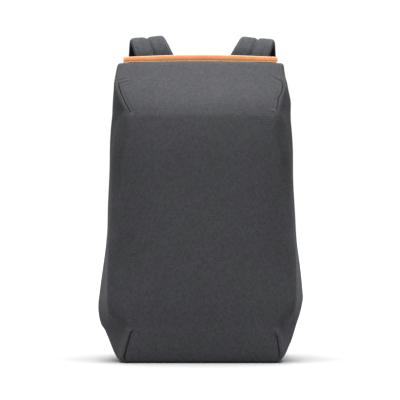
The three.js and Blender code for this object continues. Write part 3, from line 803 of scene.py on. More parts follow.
def capsule(half_length: float, radius: float, sides: int = 6, flatness: float = 1.0) -> Skin:
    """A small rounded bar along X, as a pattern for scattering, whose ends dip a little.

    Args:
        half_length: Half its length.
        radius: Of its middle.
        sides: Of its section.
        flatness: How high it is for its width.

    Returns:
        The pattern.
    """
    rings = np.array([[-1, 0.35], [-0.8, 0.85], [0, 1], [0.8, 0.85], [1, 0.35]])
    turn = np.arange(sides) * 2 * math.pi / sides
    points = np.zeros((len(rings), sides, 3))
    points[..., 0] = half_length * rings[:, :1]
    points[..., 1] = radius * rings[:, 1:] * np.cos(turn)
    points[..., 2] = radius * flatness * rings[:, 1:] * np.sin(turn) - 0.4 * radius * rings[:, :1] ** 2
    made = Skin()
    made.grid(points, caps=True)
    return made


def lofted(name: str, material: Material, rings: Points, cloth: Points, caps: bool = True) -> Piece:
    """Makes a piece from rings of points.

    Args:
        name: The piece's name.
        material: Its finish.
        rings: Its rings, each closed on itself.
        cloth: Their cloth coordinates.
        caps: Whether the first and the last ring are filled.

    Returns:
        The piece.
    """
    skin = Skin()
    skin.grid(rings, cloth, caps=caps)
    return skin.make(name, material)


def settle(piece: Piece, slot: str, *nodes: str) -> None:
    """Rides a finished piece on the body and hides the solids that it stands for.

    Args:
        piece: The piece.
        slot: Not used.
        nodes: The solids that it replaces.
    """
    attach(piece, "root")
    if nodes:
        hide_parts(*nodes)
    LOG.info("%s: %d points", piece.name, len(piece.data.vertices))


def apply_modifier(piece: Piece, modifier: bpy.types.Modifier) -> None:
    """Applies one modifier to its piece."""
    with bpy.context.temp_override(object=piece, active_object=piece, selected_objects=[piece]):
        bpy.ops.object.modifier_apply(modifier=modifier.name)


def vertex_places(piece: Piece) -> Points:
    """The places of a piece's vertices.

    Args:
        piece: The piece.

    Returns:
        The places, in millimetres.
    """
    places = np.empty(3 * len(piece.data.vertices))
    piece.data.vertices.foreach_get("co", places)
    return places.reshape(-1, 3) / MM


def place_vertices(piece: Piece, places: Points) -> None:
    """Moves a piece's vertices.

    Args:
        piece: The piece.
        places: Where they go, in millimetres.
    """
    piece.data.vertices.foreach_set("co", (places * MM).ravel())
    piece.data.polygons.foreach_set("use_smooth", [True] * len(piece.data.polygons))
    piece.data.update()


# The body


class Level(NamedTuple):
    """One height of the body, in millimetres.

    Attributes:
        z: The height.
        left: Half width on the left, at the widest place.
        right: The same on the right.
        left_edge: Where the front face turns into the left side.
        right_edge: The same on the right.
        rim: Half width of the open back.
        setback: How far the front face lies behind the foremost one.
        side: How far the widest place lies behind that.
        corner: Size of the rounding between front and side.
    """

    z: float
    left: float
    right: float
    left_edge: float
    right_edge: float
    rim: float
    setback: float
    side: float
    corner: float


LEVELS = [
    Level(0, 118.0, 117.0, 115.0, 113.5, 108.6, 10.6, 37.5, 3),
    Level(5, 124.6, 123.2, 119.5, 119.0, 113.0, 8.6, 41, 3),
    Level(11, 128.8, 128.1, 119.5, 123.5, 117.8, 6.9, 45, 3),
    Level(27, 136.3, 135.1, 115.5, 122.0, 125.5, 4.4, 52.5, 3),
    Level(47, 144.4, 141.5, 110.5, 118.5, 131.6, 2.2, 57.5, 4),
    Level(56, 150.0, 144.4, 116.0, 122.0, 134.6, 1.7, 58.8, 16),
    Level(74, 153.7, 150.7, 133.0, 136.0, 138.5, 0.8, 60, 14),
    Level(90, 153.6, 154.5, 139.0, 142.0, 140.3, 0.2, 60, 8),
    Level(99, 152.4, 155.2, 140.0, 143.5, 140.8, 0, 60, 7),
    Level(135, 147.7, 151.4, 140.0, 143.5, 140.8, 0, 55, 7),
    Level(180, 141.5, 144.0, 138.0, 141.0, 138.5, 0, 50, 12),
    Level(200, 139.4, 142.0, 136.0, 138.5, 137.8, 0, 49, 18),
    Level(247, 138.4, 140.2, 134.0, 136.0, 136.6, 0.7, 47.5, 20),
    Level(315, 137.1, 139.2, 130.8, 133.0, 134.6, 2.5, 47.5, 21),
    Level(346, 135.1, 137.5, 125.5, 129.0, 133.6, 5.8, 51.2, 24),
    Level(369, 133.4, 136.2, 115.5, 121.5, 132.5, 10.8, 57.5, 11),
    Level(378, 133.2, 136.0, 112.3, 118.8, 131.9, 15.2, 61.2, 4),
    Level(391, 132.4, 136.0, 118.5, 121.5, 131.1, 24.4, 67.5, 3),
    Level(409, 131.2, 133.4, 126.6, 127.5, 129.4, 41, 76.2, 3),
    Level(421, 131.0, 131.6, 128.6, 129.3, 127.4, 53, 85, 2.5),
    Level(434, 129.2, 128.4, 126.0, 125.0, 125.5, 66.2, 95, 3),
    Level(450, 125.4, 126.0, 123.0, 123.0, 123.5, 82.5, 100, 3),
]
TABLE = {name: np.array([getattr(row, name) for row in LEVELS], float) for name in Level._fields}
TOP_HALF_WIDTH = 122.4


def level_value(column: str, z: Points) -> Points:
    """A column of the body's table at heights z."""
    return row_value(TABLE["z"], TABLE[column], z)


def ridge_height(x: Points) -> Points:
    """Height of the body's top ridge at x."""
    return BODY_HEIGHT + TOP_ARCH * np.maximum(0, 1 - (x / TOP_HALF_WIDTH) ** 2)


@dataclass(frozen=True)
class Dart:
    """A sewn corner fold: a crease with the folded edge as a welt beside it.

    Attributes:
        side: The side that it is on.
        foot: Height of its lower end.
        head: Height of its upper end.
        depth: How deep the crease is.
        crease: Half width of the crease.
        welt: How far the folded edge stands out.
        foot_fade: Over what height it starts.
        head_fade: Over what height it ends.
        wander: How far the crease waves from its line.
        wave: The height of such a wave.
    """

    side: Side
    foot: float
    head: float
    depth: float
    crease: float
    welt: float
    foot_fade: float
    head_fade: float
    wander: float = 0.0
    wave: float = 23.0

    def waved(self, away: Points, z: Points) -> Points:
        """The distance from the crease where that waves a little."""
        return away - self.wander * np.sin(2 * math.pi * (z - self.foot) / self.wave)

    def strength(self, z: Points) -> Points:
        """How much of the fold there is at height z."""
        starting = step(z, self.foot - self.foot_fade, self.foot + self.foot_fade)
        return starting * step(z, self.head + self.head_fade, self.head - self.head_fade)

    def relief(self, away: Points, z: Points) -> Points:
        """How far the cloth stands out.

        Args:
            away: Distance from the crease, outwards.
            z: Height.

        Returns:
            The relief, below 0 in the crease.
        """
        away = self.waved(away, z)
        pit = -self.depth * bell(away, 0, self.crease)
        roll = -0.35 * self.depth * bell(away, -3.2, 3.2)
        return self.strength(z) * (pit + roll + self.welt * bell(away, 2.0, 1.15))

    def tone(self, away: Points, z: Points) -> Points:
        """The cloth's tone: painted shade in the crease and a painted highlight on the welt."""
        away = self.waved(away, z)
        return self.strength(z) * (0.55 * self.welt * bell(away, 2.2, 0.9) - bell(away, 0, 0.8 * self.crease))


DARTS = [
    Dart(Side.LEFT, 376.5, 419, depth=2.6, crease=0.95, welt=1.25, foot_fade=1.2, head_fade=5),
    Dart(Side.RIGHT, 380.5, 421, depth=2.3, crease=0.9, welt=0.95, foot_fade=1.4, head_fade=6, wander=1.0),
    Dart(Side.LEFT, 3, 49, depth=3.0, crease=0.95, welt=0.35, foot_fade=1, head_fade=3),
    Dart(Side.RIGHT, 7, 43, depth=2.4, crease=0.75, welt=0.25, foot_fade=3, head_fade=3),
]


class Pucker(NamedTuple):
    """A patch of small slanting wrinkles where a dart ends: its middle, its reach and its wrinkles."""

    x: float
    z: float
    wide: float
    high: float
    relief: float
    slope: float
    pitch: float

    def out(self, x: Points, z: Points) -> Points:
        """How far the cloth stands out."""
        patch = bell(x, self.x, self.wide) * bell(z, self.z, self.high)
        return self.relief * patch * np.sin(2 * math.pi * (z + self.slope * x) / self.pitch)


PUCKERS = [Pucker(-117, 423, 11, 6.5, 0.75, -0.22, 5.2), Pucker(118, 424, 8, 5, 0.8, 0.5, 8.5)]


@dataclass
class BodyShell:
    """The padded shell: front, sides, bottom and top, open at its back rim.

    Attributes:
        finishes: The backpack's materials.
        front_crown: How far the front face bulges.
        crease_gap: From a crease to the start of the corner's bend.
        bottom_rounding: Radius of the edge round the bottom.
        ridge_rounding: Radius of the edge round the top.
        wall: Thickness of the padded cloth.
        hollow_length: Length of the hand hollow.
        hollow_depth: Depth of the hand hollow.
        row_gaps: Heights, each with the gap between the rows of points below it.
        top_gap: The gap between the rows above them.
        front_columns: Points across half of the front.
        roll_columns: Points on the way into a crease.
        bend_columns: Points round a corner.
        swell_columns: Points from a corner to the widest place.
        fall_columns: Points from there to the rim.
    """

    finishes: Finishes
    front_crown: float = 5.0
    crease_gap: float = 2.5
    bottom_rounding: float = 2.2
    ridge_rounding: float = 4.0
    wall: float = 2.4
    hollow_length: float = 176.0
    hollow_depth: float = 20.0
    row_gaps: tuple = ((40, 2.5), (56, 1.4), (366, 3.6), (388, 1.2), (414, 2.0), (428, 1.2))
    top_gap: float = 2.0
    front_columns: int = 40
    roll_columns: int = 18
    bend_columns: int = 14
    swell_columns: int = 16
    fall_columns: int = 14

    def heights(self) -> tuple[Points, Points]:
        """Lays the rows out, finer where the body has folds and edges.

        Returns:
            The rows' heights, and how far each is drawn in by the rounded edges.
        """
        quarter = np.linspace(0, math.pi / 2, 5)
        low = SHELL_BOTTOM + self.bottom_rounding * (1 - np.cos(quarter))
        high = BODY_HEIGHT - self.ridge_rounding * (1 - np.sin(quarter))
        rows = []
        start = low[-1]
        for end, gap in (*self.row_gaps, (high[0], self.top_gap)):
            rows.append(np.linspace(start, end, max(2, round((end - start) / gap)) + 1)[1:])
            start = end
        middle = np.concatenate(rows)[:-1]
        low_inset = self.bottom_rounding * (1 - np.sin(quarter))
        high_inset = self.ridge_rounding * (1 - np.cos(quarter))
        inset = np.concatenate([low_inset, np.zeros(len(middle)), high_inset])
        return np.concatenate([low, middle, high]), inset

    def half(self, side: Side, z: Points, inset: Points) -> tuple[Points, Points]:
        """One half of the body's sections.

        Args:
            side: Left or right.
            z: Heights of the rows.
            inset: How far each row will be drawn in.

        Returns:
            The points in x and y from the middle of the front to the rim, and their distances from
            the crease, outwards.
        """
        z, inset = z[:, None], inset[:, None]
        edge = level_value(f"{side.word}_edge", z)
        corner = level_value("corner", z) + inset
        front_y = FRONT_Y + level_value("setback", z)
        crease = edge - corner - self.crease_gap
        share = z / BODY_HEIGHT
        crown = self.front_crown * np.minimum(1, 4 * share * (1.15 - share))
        near = 0.1
        spread = np.linspace(0, 1 - near, self.front_columns + 1)[:-1]
        roll = 1 - near * np.linspace(1, 0, self.roll_columns + 1) ** 1.5
        t = np.concatenate([spread, roll])[None, :]
        front = np.stack([crease * t, front_y - crown * (1 + np.cos(math.pi * t)) / 2], -1)
        start = np.stack([crease, front_y], -1)
        turn = np.stack([edge, front_y], -1)
        widest = np.stack([level_value(side.word, z), FRONT_Y + level_value("side", z)], -1)
        rim = np.stack([level_value("rim", z), np.full_like(z, RIM_Y)], -1)
        chord = widest - turn
        distance = np.linalg.norm(chord, axis=-1, keepdims=True)
        bend_end = turn + chord * np.minimum(corner[..., None] / distance, 0.48)
        b = (np.linspace(0, 1, self.bend_columns + 1)[1:] ** 1.25)[None, :, None]
        bend = start * (1 - b) ** 2 + turn * 2 * b * (1 - b) + bend_end * b**2
        back = np.array([0.0, 1.0])
        swell = self.eased(bend_end, widest, chord / distance, back, self.swell_columns)
        fall = self.eased(widest, rim, back, unit(rim - widest), self.fall_columns)
        half = np.concatenate([front, bend, swell, fall], axis=1)
        travel = lengths_along(half, 1)
        return half, travel - travel[:, [self.front_columns + self.roll_columns]]

    @staticmethod
    def eased(start: Points, end: Points, leaving: Points, arriving: Points, count: int) -> Points:
        """Points of a smooth curve between two points of each row.

        Args:
            start: Where it starts.
            end: Where it ends.
            leaving: Its direction at the start.
            arriving: Its direction at the end.
            count: How many points, without the start.

        Returns:
            The points.
        """
        t = np.linspace(0, 1, count + 1)[1:][None, :, None]
        reach = np.linalg.norm(end - start, axis=-1, keepdims=True)
        return (
            start * (2 * t**3 - 3 * t**2 + 1)
            + leaving * reach * (t**3 - 2 * t**2 + t)
            + end * (3 * t**2 - 2 * t**3)
            + arriving * reach * (t**3 - t**2)
        )

    def sections(self) -> tuple[Points, Points, Points]:
        """The whole sections from the left rim round the front to the right rim.

        Returns:
            The points of the rows, the distance of each from its side's crease, and the heights.
        """
        z, inset = self.heights()
        left, left_away = self.half(Side.LEFT, z, inset)
        right, right_away = self.half(Side.RIGHT, z, inset)
        left = left[:, ::-1] * np.array([-1.0, 1.0])
        flat = np.concatenate([left[:, :-1], right], axis=1)
        away = np.concatenate([left_away[:, ::-1][:, :-1], right_away], axis=1)
        tangent = unit(np.gradient(flat, axis=1))
        inwards = np.stack([-tangent[..., 1], tangent[..., 0]], -1)
        flat = flat + inwards * inset[:, None, None]
        flat[:, [0, -1], 1] = RIM_Y
        lift = (ridge_height(flat[..., 0]) - BODY_HEIGHT) * step(z / BODY_HEIGHT, 0.85, 1)[:, None]
        return np.dstack([flat, z[:, None] + lift]), away, np.broadcast_to(z[:, None], away.shape)

    def relief(self, points: Points, away: Points, z: Points) -> tuple[Points, Points]:
        """Folds, wrinkles and soft waves of the sides and the front.

        Args:
            points: The rows' points.
            away: Their distances from the crease.
            z: Their heights in the table.

        Returns:
            How far each point stands out, and its tone of painted light and shade.
        """
        x = points[..., 0]
        out, tone = np.zeros_like(x), self.shade(points, away, z)
        for dart in DARTS:
            here = np.sign(x) == dart.side.value
            out += np.where(here, dart.relief(away, z), 0)
            tone += np.where(here, dart.tone(away, z), 0)
        calm = 1 - np.clip(bell(away, 0, 6), 0, 1)
        edges = step(z, 4, 30) * step(z, 449, 425) * step(points[..., 1], RIM_Y, RIM_Y - 25)
        out += edges * calm * 0.45 * ripple(points, 120, 3)
        out += edges * step(away, 10, 50) * ripple(points * np.array([1, 1.6, 0.8]), 90, 5)
        out += sum(pucker.out(x, z) for pucker in PUCKERS)
        # The curled foot of the right dart stands out and gets a painted highlight.
        curl = bell(x, 108, 4.0) * bell(z, 379.5, 2.6)
        return out + 1.1 * curl, np.clip(tone + 0.3 * curl, -1.3, 1.5)

    def shade(self, points: Points, away: Points, z: Points) -> Points:
        """Painted light and shade over the body, in slow changes of the cloth's tone.

        Args:
            points: The rows' points.
            away: Their distances from the crease.
            z: Their heights in the table.

        Returns:
            The tone, above 0 where light is painted and below 0 where shade is painted.
        """
        x, y = points[..., 0], points[..., 1]
        # Painted light on the lower side bulges.
        bulge = step(z, 46, 70) * step(z, 225, 150) * step(y, -8, -38)
        tone = bulge * np.where(x < 0, 0.8 * step(-x, 138.2, 139.8), step(x, 142, 144.5))
        # Painted light near the foot.
        tone += 0.3 * step(z, 75, 20)
        # Painted shade towards the sides, from mid height up.
        tone -= 0.25 * step(np.abs(x), 40, 130) * step(z, 90, 200)
        # Painted shade beside the upper darts, in the upper left corner and along the fold into the top.
        beside_dart = 0.55 * step(away, 3, 14) * step(z, 230, 330) * step(z, 428, 398)
        left_corner = 0.25 * step(-x, 112, 122) * step(z, 350, 375) * step(z, 425, 400)
        fold_line = 0.3 * bell(z, 382, 20) * step(away, 2, -8)
        return tone - beside_dart - left_corner - fold_line

    def hollow_dip(self, x: Points, y: Points) -> Points:
        """Depth of the hand hollow.

        Args:
            x: Places across the top.
            y: Places from its front to its back.

        Returns:
            The depth there.
        """
        front = FRONT_Y + TABLE["setback"][-1] + self.ridge_rounding
        middle = (front + RIM_Y) / 2
        across = np.minimum(1, np.abs(2 * x) / self.hollow_length)
        along = np.minimum(1, np.abs(y - middle) / (RIM_Y - middle))
        return self.hollow_depth * (1 - across**4) ** 2 * (1 - along**2) ** 1.5

    def build(self) -> None:
        """Makes the shell: its bottom, its sides and its top, drawn in to the middle of the rim's edge."""
        rows, away, z = self.sections()
        out, tone = self.relief(rows, away, z)
        rows = rows + grid_normals(rows) * out[..., None]
        rows[:, [0, -1], 1] = RIM_Y
        to_rim = np.array([0, RIM_Y, 0])
        under = drawn_in(rows[0], np.linspace(0, 1, 7)[:-1], to_rim)
        under[..., 2] = SHELL_BOTTOM
        top = drawn_in(rows[-1], 1 - np.linspace(0, 1, 20)[1:] ** 1.15, to_rim)
        top[..., 2] = ridge_height(top[..., 0]) - self.hollow_dip(top[..., 0], top[..., 1])
        points = np.concatenate([under, rows, top])
        across = lengths_along(points, 1)
        across = across - across[:, [points.shape[1] // 2]]
        tone = np.pad(tone, ((len(under), len(top)), (0, 0)))
        skin = Skin()
        skin.grid(points, laid(across, lengths_along(points, 0), tone), wrap=False)
        shell = skin.make("shell_body", self.finishes.shell_cloth, closed=False)
        lining = shell.modifiers.new("lining", "SOLIDIFY")
        lining.thickness = self.wall * MM
        lining.offset = -1
        settle(shell, "shell_fabric", "shell")


@dataclass
class Rim:
    """The outline of the body's open back in x and z, from the middle of its foot up its right side."""

    foot_rounding: float = 6.0
    top_rounding: float = 4.0

    def __post_init__(self) -> None:
        """Lays the outline out."""
        quarter = np.linspace(0, math.pi / 2, 7)
        low = SHELL_BOTTOM + self.foot_rounding * (1 - np.cos(quarter))
        high = BODY_HEIGHT - self.top_rounding * (1 - np.sin(quarter))
        z = np.concatenate([low, np.arange(12, 444, 4.0), high])
        half = level_value("rim", z)
        half[: len(low)] -= self.foot_rounding * (1 - np.sin(quarter))
        half[-len(high) :] -= self.top_rounding * (1 - np.cos(quarter))
        top = np.linspace(half[-1], 0, 30)[1:]
        side = np.stack([half, z], -1)
        right = np.concatenate([[[0, SHELL_BOTTOM]], side, np.stack([top, ridge_height(top)], -1)])
        self.loop = np.concatenate([right, right[-2::-1] * np.array([-1, 1])])
        self.travel = travelled(self.loop)
        self.length = float(self.travel[-1])
        self.right = len(right)

    def crossing(self, z: float) -> float:
        """The distance along the outline at which its right side reaches height z."""
        return float(np.interp(z, self.loop[1 : self.right, 1], self.travel[1 : self.right]))

    def at(self, travel: Points) -> Points:
        """Points of the outline."""
        return read_along(self.travel, self.loop, np.mod(travel, self.length))

    def swept(self, travel: Points, section: Points) -> Points:
        """A section carried along the outline.

        Args:
            travel: The distances along it.
            section: Points in y and in distance outside the outline.

        Returns:
            A row of points for each distance.
        """
        tangent = unit(self.at(travel + 2) - self.at(travel - 2))
        outwards = np.stack([tangent[:, 1], -tangent[:, 0]], -1)
        flat = self.at(travel)[:, None] + outwards[:, None] * section[None, :, 1:]
        y = np.broadcast_to(section[None, :, 0], flat.shape[:2])
        return np.stack([flat[..., 0], y, flat[..., 1]], -1)

    def line(self, travel: Points, y: float, outside: float) -> Points:
        """A line along the outline at one depth and one distance outside it."""
        return self.swept(travel, np.array([[y, outside]]))[:, 0]


@dataclass
class BackEdge:
    """What joins the shell to the back panel: the zip, the plain gusset round the foot and the slider.

    Attributes:
        finishes: The backpack's materials.
        rim: The outline that it follows.
        inset: How far it lies inside the outline.
        thickness: Of the tapes and the gusset.
        middle: The coil's place from front to back.
        coil_half: Half the width of the coil's bed.
        tooth_pitch: From one tooth to the next on the other side.
        tape_seam: From a tape's edge to its seam.
        gusset_seam: From the gusset's edge to its seam.
        slider_length: Of the slider's body.
        pull_length: Of its pull.
    """

    finishes: Finishes
    rim: Rim
    inset: float = 1.2
    thickness: float = 2.2
    middle: float = BAND_Y + BAND_DEPTH / 2
    coil_half: float = 2.8
    tooth_pitch: float = 1.5
    tape_seam: float = 1.4
    gusset_seam: float = 2.6
    slider_length: float = 14.0
    pull_length: float = 30.0

    def band(self, name: str, travel: Points, section: Points, material: Material) -> Piece:
        """Makes one band with a closed section along the rim.

        Args:
            name: Its name.
            travel: The distances along the rim.
            section: Points in y and in distance outside the rim.
            material: Its finish.

        Returns:
            The band.
        """
        points = self.rim.swept(travel, section)
        # The tone paints shade on what lies deeper inside the rim and light on what stands out from it.
        tone = np.clip(section[None, :, 1] + self.inset, -0.5, 0.3)
        return lofted(name, material, points, laid(points[..., 1], travel[:, None], tone))

    def seams(self, name: str, travel: Points, inset: float, outside: float, thread: Material) -> Piece:
        """Sews a row of stitches along each edge of a band.

        Args:
            name: The rows' name.
            travel: The distances along the rim.
            inset: From the band's edge to each row.
            outside: How far outside the rim the rows lie.
            thread: Their finish.

        Returns:
            The stitches.
        """
        skin = Skin()
        for y in (BAND_Y + inset, BAND_Y + BAND_DEPTH - inset):
            path = self.rim.line(travel, y, outside)
            skin.stitch(path, self.rim.line(travel, y, outside + 1) - path)
        return skin.make(name, thread)

    def zip_band(self) -> None:
        """Makes the zip's tapes, its closed teeth and its seams, over the top and the sides."""
        low = self.rim.crossing(ZIP_END + CLEARANCE / 2)
        travel = np.linspace(low, self.rim.length - low, 260)
        top, inner = -self.inset, -self.inset - self.thickness
        bed = inner + 0.8
        start, end = BAND_Y + 0.1, BAND_Y + BAND_DEPTH - 0.1
        left, right = self.middle - self.coil_half, self.middle + self.coil_half
        section = [(start, inner), (start, top - 0.3), (start + 0.4, top), (left - 0.5, top)]
        section += [(left, top - 0.4), (left + 0.1, bed), (right - 0.1, bed), (right, top - 0.4)]
        section += [(right + 0.5, top), (end - 0.4, top), (end, top - 0.3), (end, inner)]
        tape = self.band("zip_tapes", travel, np.array(section), self.finishes.zip_tape)
        settle(tape, "black_webbing", "zip_band")
        settle(self.teeth(low, top), "black_plastic")
        seams = self.seams("zip_stitches", travel, self.tape_seam, top + 0.1, self.finishes.black_thread)
        settle(seams, "black_webbing")

    def teeth(self, low: float, top: float) -> Piece:
        """Makes the teeth, which lean towards each other from both tapes.

        Args:
            low: Where the zip starts along the rim.
            top: How far outside the rim the tapes' face lies.

        Returns:
            The teeth.
        """
        skin = Skin()
        places = np.arange(low + 1, self.rim.length - low - 1, self.tooth_pitch)
        for turn in (-1, 1):
            chosen = places[0 if turn < 0 else 1 :: 2]
            y = self.middle + 0.75 * turn
            centre = self.rim.line(chosen, y, top - 0.25)
            slant = self.rim.at(chosen + 0.25 * turn) - self.rim.at(chosen)
            along = np.stack([slant[:, 0], np.ones(len(chosen)), slant[:, 1]], -1)
            out = self.rim.line(chosen, y, top + 1) - centre
            skin.scatter(capsule(1.95, 0.74, 6, 1.35), centre, along, out)
        return skin.make("zip_teeth", self.finishes.coil)

    def gusset(self) -> None:
        """Makes the plain gusset of shell cloth that goes on round the foot."""
        low = self.rim.crossing(ZIP_END - CLEARANCE / 2)
        travel = np.linspace(-low, low, 150)
        turn = full_turn(28)
        y = self.middle + (BAND_DEPTH - 0.2) / 2 * boxed(np.cos(turn), 0.35)
        raised = boxed(np.sin(turn), 0.5) * self.thickness / 2
        seams = (BAND_Y + self.gusset_seam, BAND_Y + BAND_DEPTH - self.gusset_seam)
        seam = 0.45 * sum(bell(y, at, 0.7) for at in seams)
        raised = raised - self.inset - self.thickness / 2 - np.where(raised > 0, seam, 0)
        band = self.band("foot_gusset", travel, np.stack([y, raised], -1), self.finishes.shell_cloth)
        settle(band, "shell_fabric", "lower_gusset")
        outside, thread = -self.inset - 0.35, self.finishes.grey_thread
        settle(self.seams("gusset_stitches", travel, self.gusset_seam, outside, thread), "shell_fabric")

    def slider(self) -> None:
        """Makes the slider: a waisted body, a bridge over it, and a ribbed pull that hangs on the bridge."""
        skin = Skin()
        turn = full_turn(20)
        wide, high = boxed(np.cos(turn), 0.55), boxed(np.sin(turn), 0.55)
        rows = [(0, 1.9, 0.4), (0.4, 2.5, 0.9), (2, 3.0, 1.1), (6, 3.1, 1.1), (10, 3.9, 1.1), (13, 3.8, 1.1)]
        rows += [(13.7, 3.3, 0.8), (14, 2.7, 0.4)]
        body = [
            np.stack([1.1 + half_high * high, half_wide * wide, 0 * turn + z], -1)
            for z, half_wide, half_high in rows
        ]
        skin.grid(np.array(body), caps=True)
        bridge = []
        for a in np.linspace(0, math.pi, 13):
            out = 1.8 + (1.5 + 0.5 * high) * math.sin(a) ** 0.6
            bridge.append(np.stack([out, 1.2 * wide, 7 - (4.6 + 0.5 * high) * math.cos(a)], -1))
        skin.grid(np.array(bridge), caps=True)
        self.pull(skin)
        z = ZIP_END + CLEARANCE
        coil = [level_value("rim", np.array([at]))[0] - self.inset + 1 for at in (z, z + self.slider_length)]
        lean = math.atan2(coil[1] - coil[0], self.slider_length)
        out, across, up = np.concatenate(skin.points).T
        leaned_out = out * math.cos(lean) + up * math.sin(lean) + max(coil) + CLEARANCE
        leaned_up = up * math.cos(lean) - out * math.sin(lean) + z
        skin.points = [np.stack([leaned_out, across + self.middle, leaned_up], -1)]
        settle(skin.make("slider_and_pull", self.finishes.plastic), "black_plastic", "zip_slider")

    def pull(self, skin: Skin) -> None:
        """Adds the pull, a plate with a hole for the bridge and ribs to grip.

        Args:
            skin: The slider's skin, in the slider's own axes.
        """
        low, high = 2.5, 3.9
        y, z = np.cos(full_turn(40)), np.sin(full_turn(40))
        top = self.slider_length * 0.3
        straight = self.pull_length / 2 - 3
        outer = np.stack([3 * y, top - 3 - straight + 3 * z + straight * np.sign(z)], -1)
        hole = np.stack([1.5 * y, top - 3.2 + 1.5 * z], -1)
        lower = outer * [0.9, 0.985]
        rows = [(hole, low), (lower, low), (outer, low + 0.4), (outer, high - 0.4), (lower, high)]
        rows += [(hole, high), (hole, low)]
        skin.grid(np.array([np.column_stack([0 * y + x, flat]) for flat, x in rows]))
        ribs = np.array([[high - 0.1, 0, top - self.pull_length + 4 + 2.2 * i] for i in range(5)])
        skin.scatter(capsule(2.1, 0.45), ribs, np.tile(BACKWARDS, (5, 1)), np.tile([1.0, 0, 0], (5, 1)))

    def build(self) -> None:
        """Makes the zip, the gusset and the slider."""
        self.zip_band()
        self.gusset()
        self.slider()


@dataclass
class BasePanel:
    """The flat panel of black cloth that the backpack stands on.

    Attributes:
        finishes: The backpack's materials.
        front_half: Half width at the front.
        widest_half: Half width at the sides' widest place.
        rim_half: Half width from the rim backwards.
        front_y: Its front edge.
        widest_y: The sides' widest place.
        back_y: Its back edge.
        thickness: Of the panel.
        corner: Size of its rounded corners.
    """

    finishes: Finishes
    front_half: float = 110.5
    widest_half: float = 108.9
    rim_half: float = 106.6
    front_y: float = -61.7
    widest_y: float = -36.8
    back_y: float = 72.3
    thickness: float = 1.5
    corner: float = 9.0

    def outline(self) -> Points:
        """Draws the panel's outline.

        Returns:
            Its points, with rounded corners.
        """
        half = [(self.front_half, self.front_y), (self.widest_half, self.widest_y)]
        half += [(self.rim_half, RIM_Y), (self.rim_half, self.back_y)]
        corners = np.array(half + [(-x, y) for x, y in half[::-1]])
        t = np.linspace(0, 1, 9)[:, None]
        arcs = []
        for i, here in enumerate(corners):
            ends = [corners[i - 1] - here, corners[(i + 1) % len(corners)] - here]
            near = [here + e * min(0.48, self.corner / np.linalg.norm(e)) for e in ends]
            arcs.append(near[0] * (1 - t) ** 2 + here * 2 * t * (1 - t) + near[1] * t**2)
        ring = np.concatenate(arcs)
        return np.column_stack([ring, 0 * ring[:, 0]])

    def build(self) -> None:
        """Makes the panel."""
        ring = self.outline()
        centre, up = np.array([0, 5.0, 0]), np.array([0, 0, 1.0])
        rounded = [(0.995, 0.0), (1, 0.5), (1, self.thickness - 0.5), (0.995, self.thickness)]
        rows = stacked(ring, centre, rounded, up)
        shares = np.array([0.0, 0.3, 0.6, 0.9])
        under = drawn_in(rows[0], shares, centre)
        over = drawn_in(rows[-1], shares[::-1], centre + up * self.thickness)
        points = np.concatenate([under, rows, over])
        cloth = laid(points[..., 0], points[..., 1])
        base = lofted("base_cloth", self.finishes.webbing, points, cloth, False)
        settle(base, "black_webbing", "base_panel")


# The back


class Run(Enum):
    """Which way a pad's sewn channels run."""

    UPRIGHT = 0
    LEVEL = 1


class PadShape(NamedTuple):
    """One soft pad of the back, in millimetres."""

    name: str
    left: float
    right: float
    bottom: float
    top: float
    channels: tuple[float, float]
    run: Run

    @property
    def centre(self) -> Points:
        """Its middle, on the plane y = 0."""
        return np.array([(self.left + self.right) / 2, 0, (self.bottom + self.top) / 2])


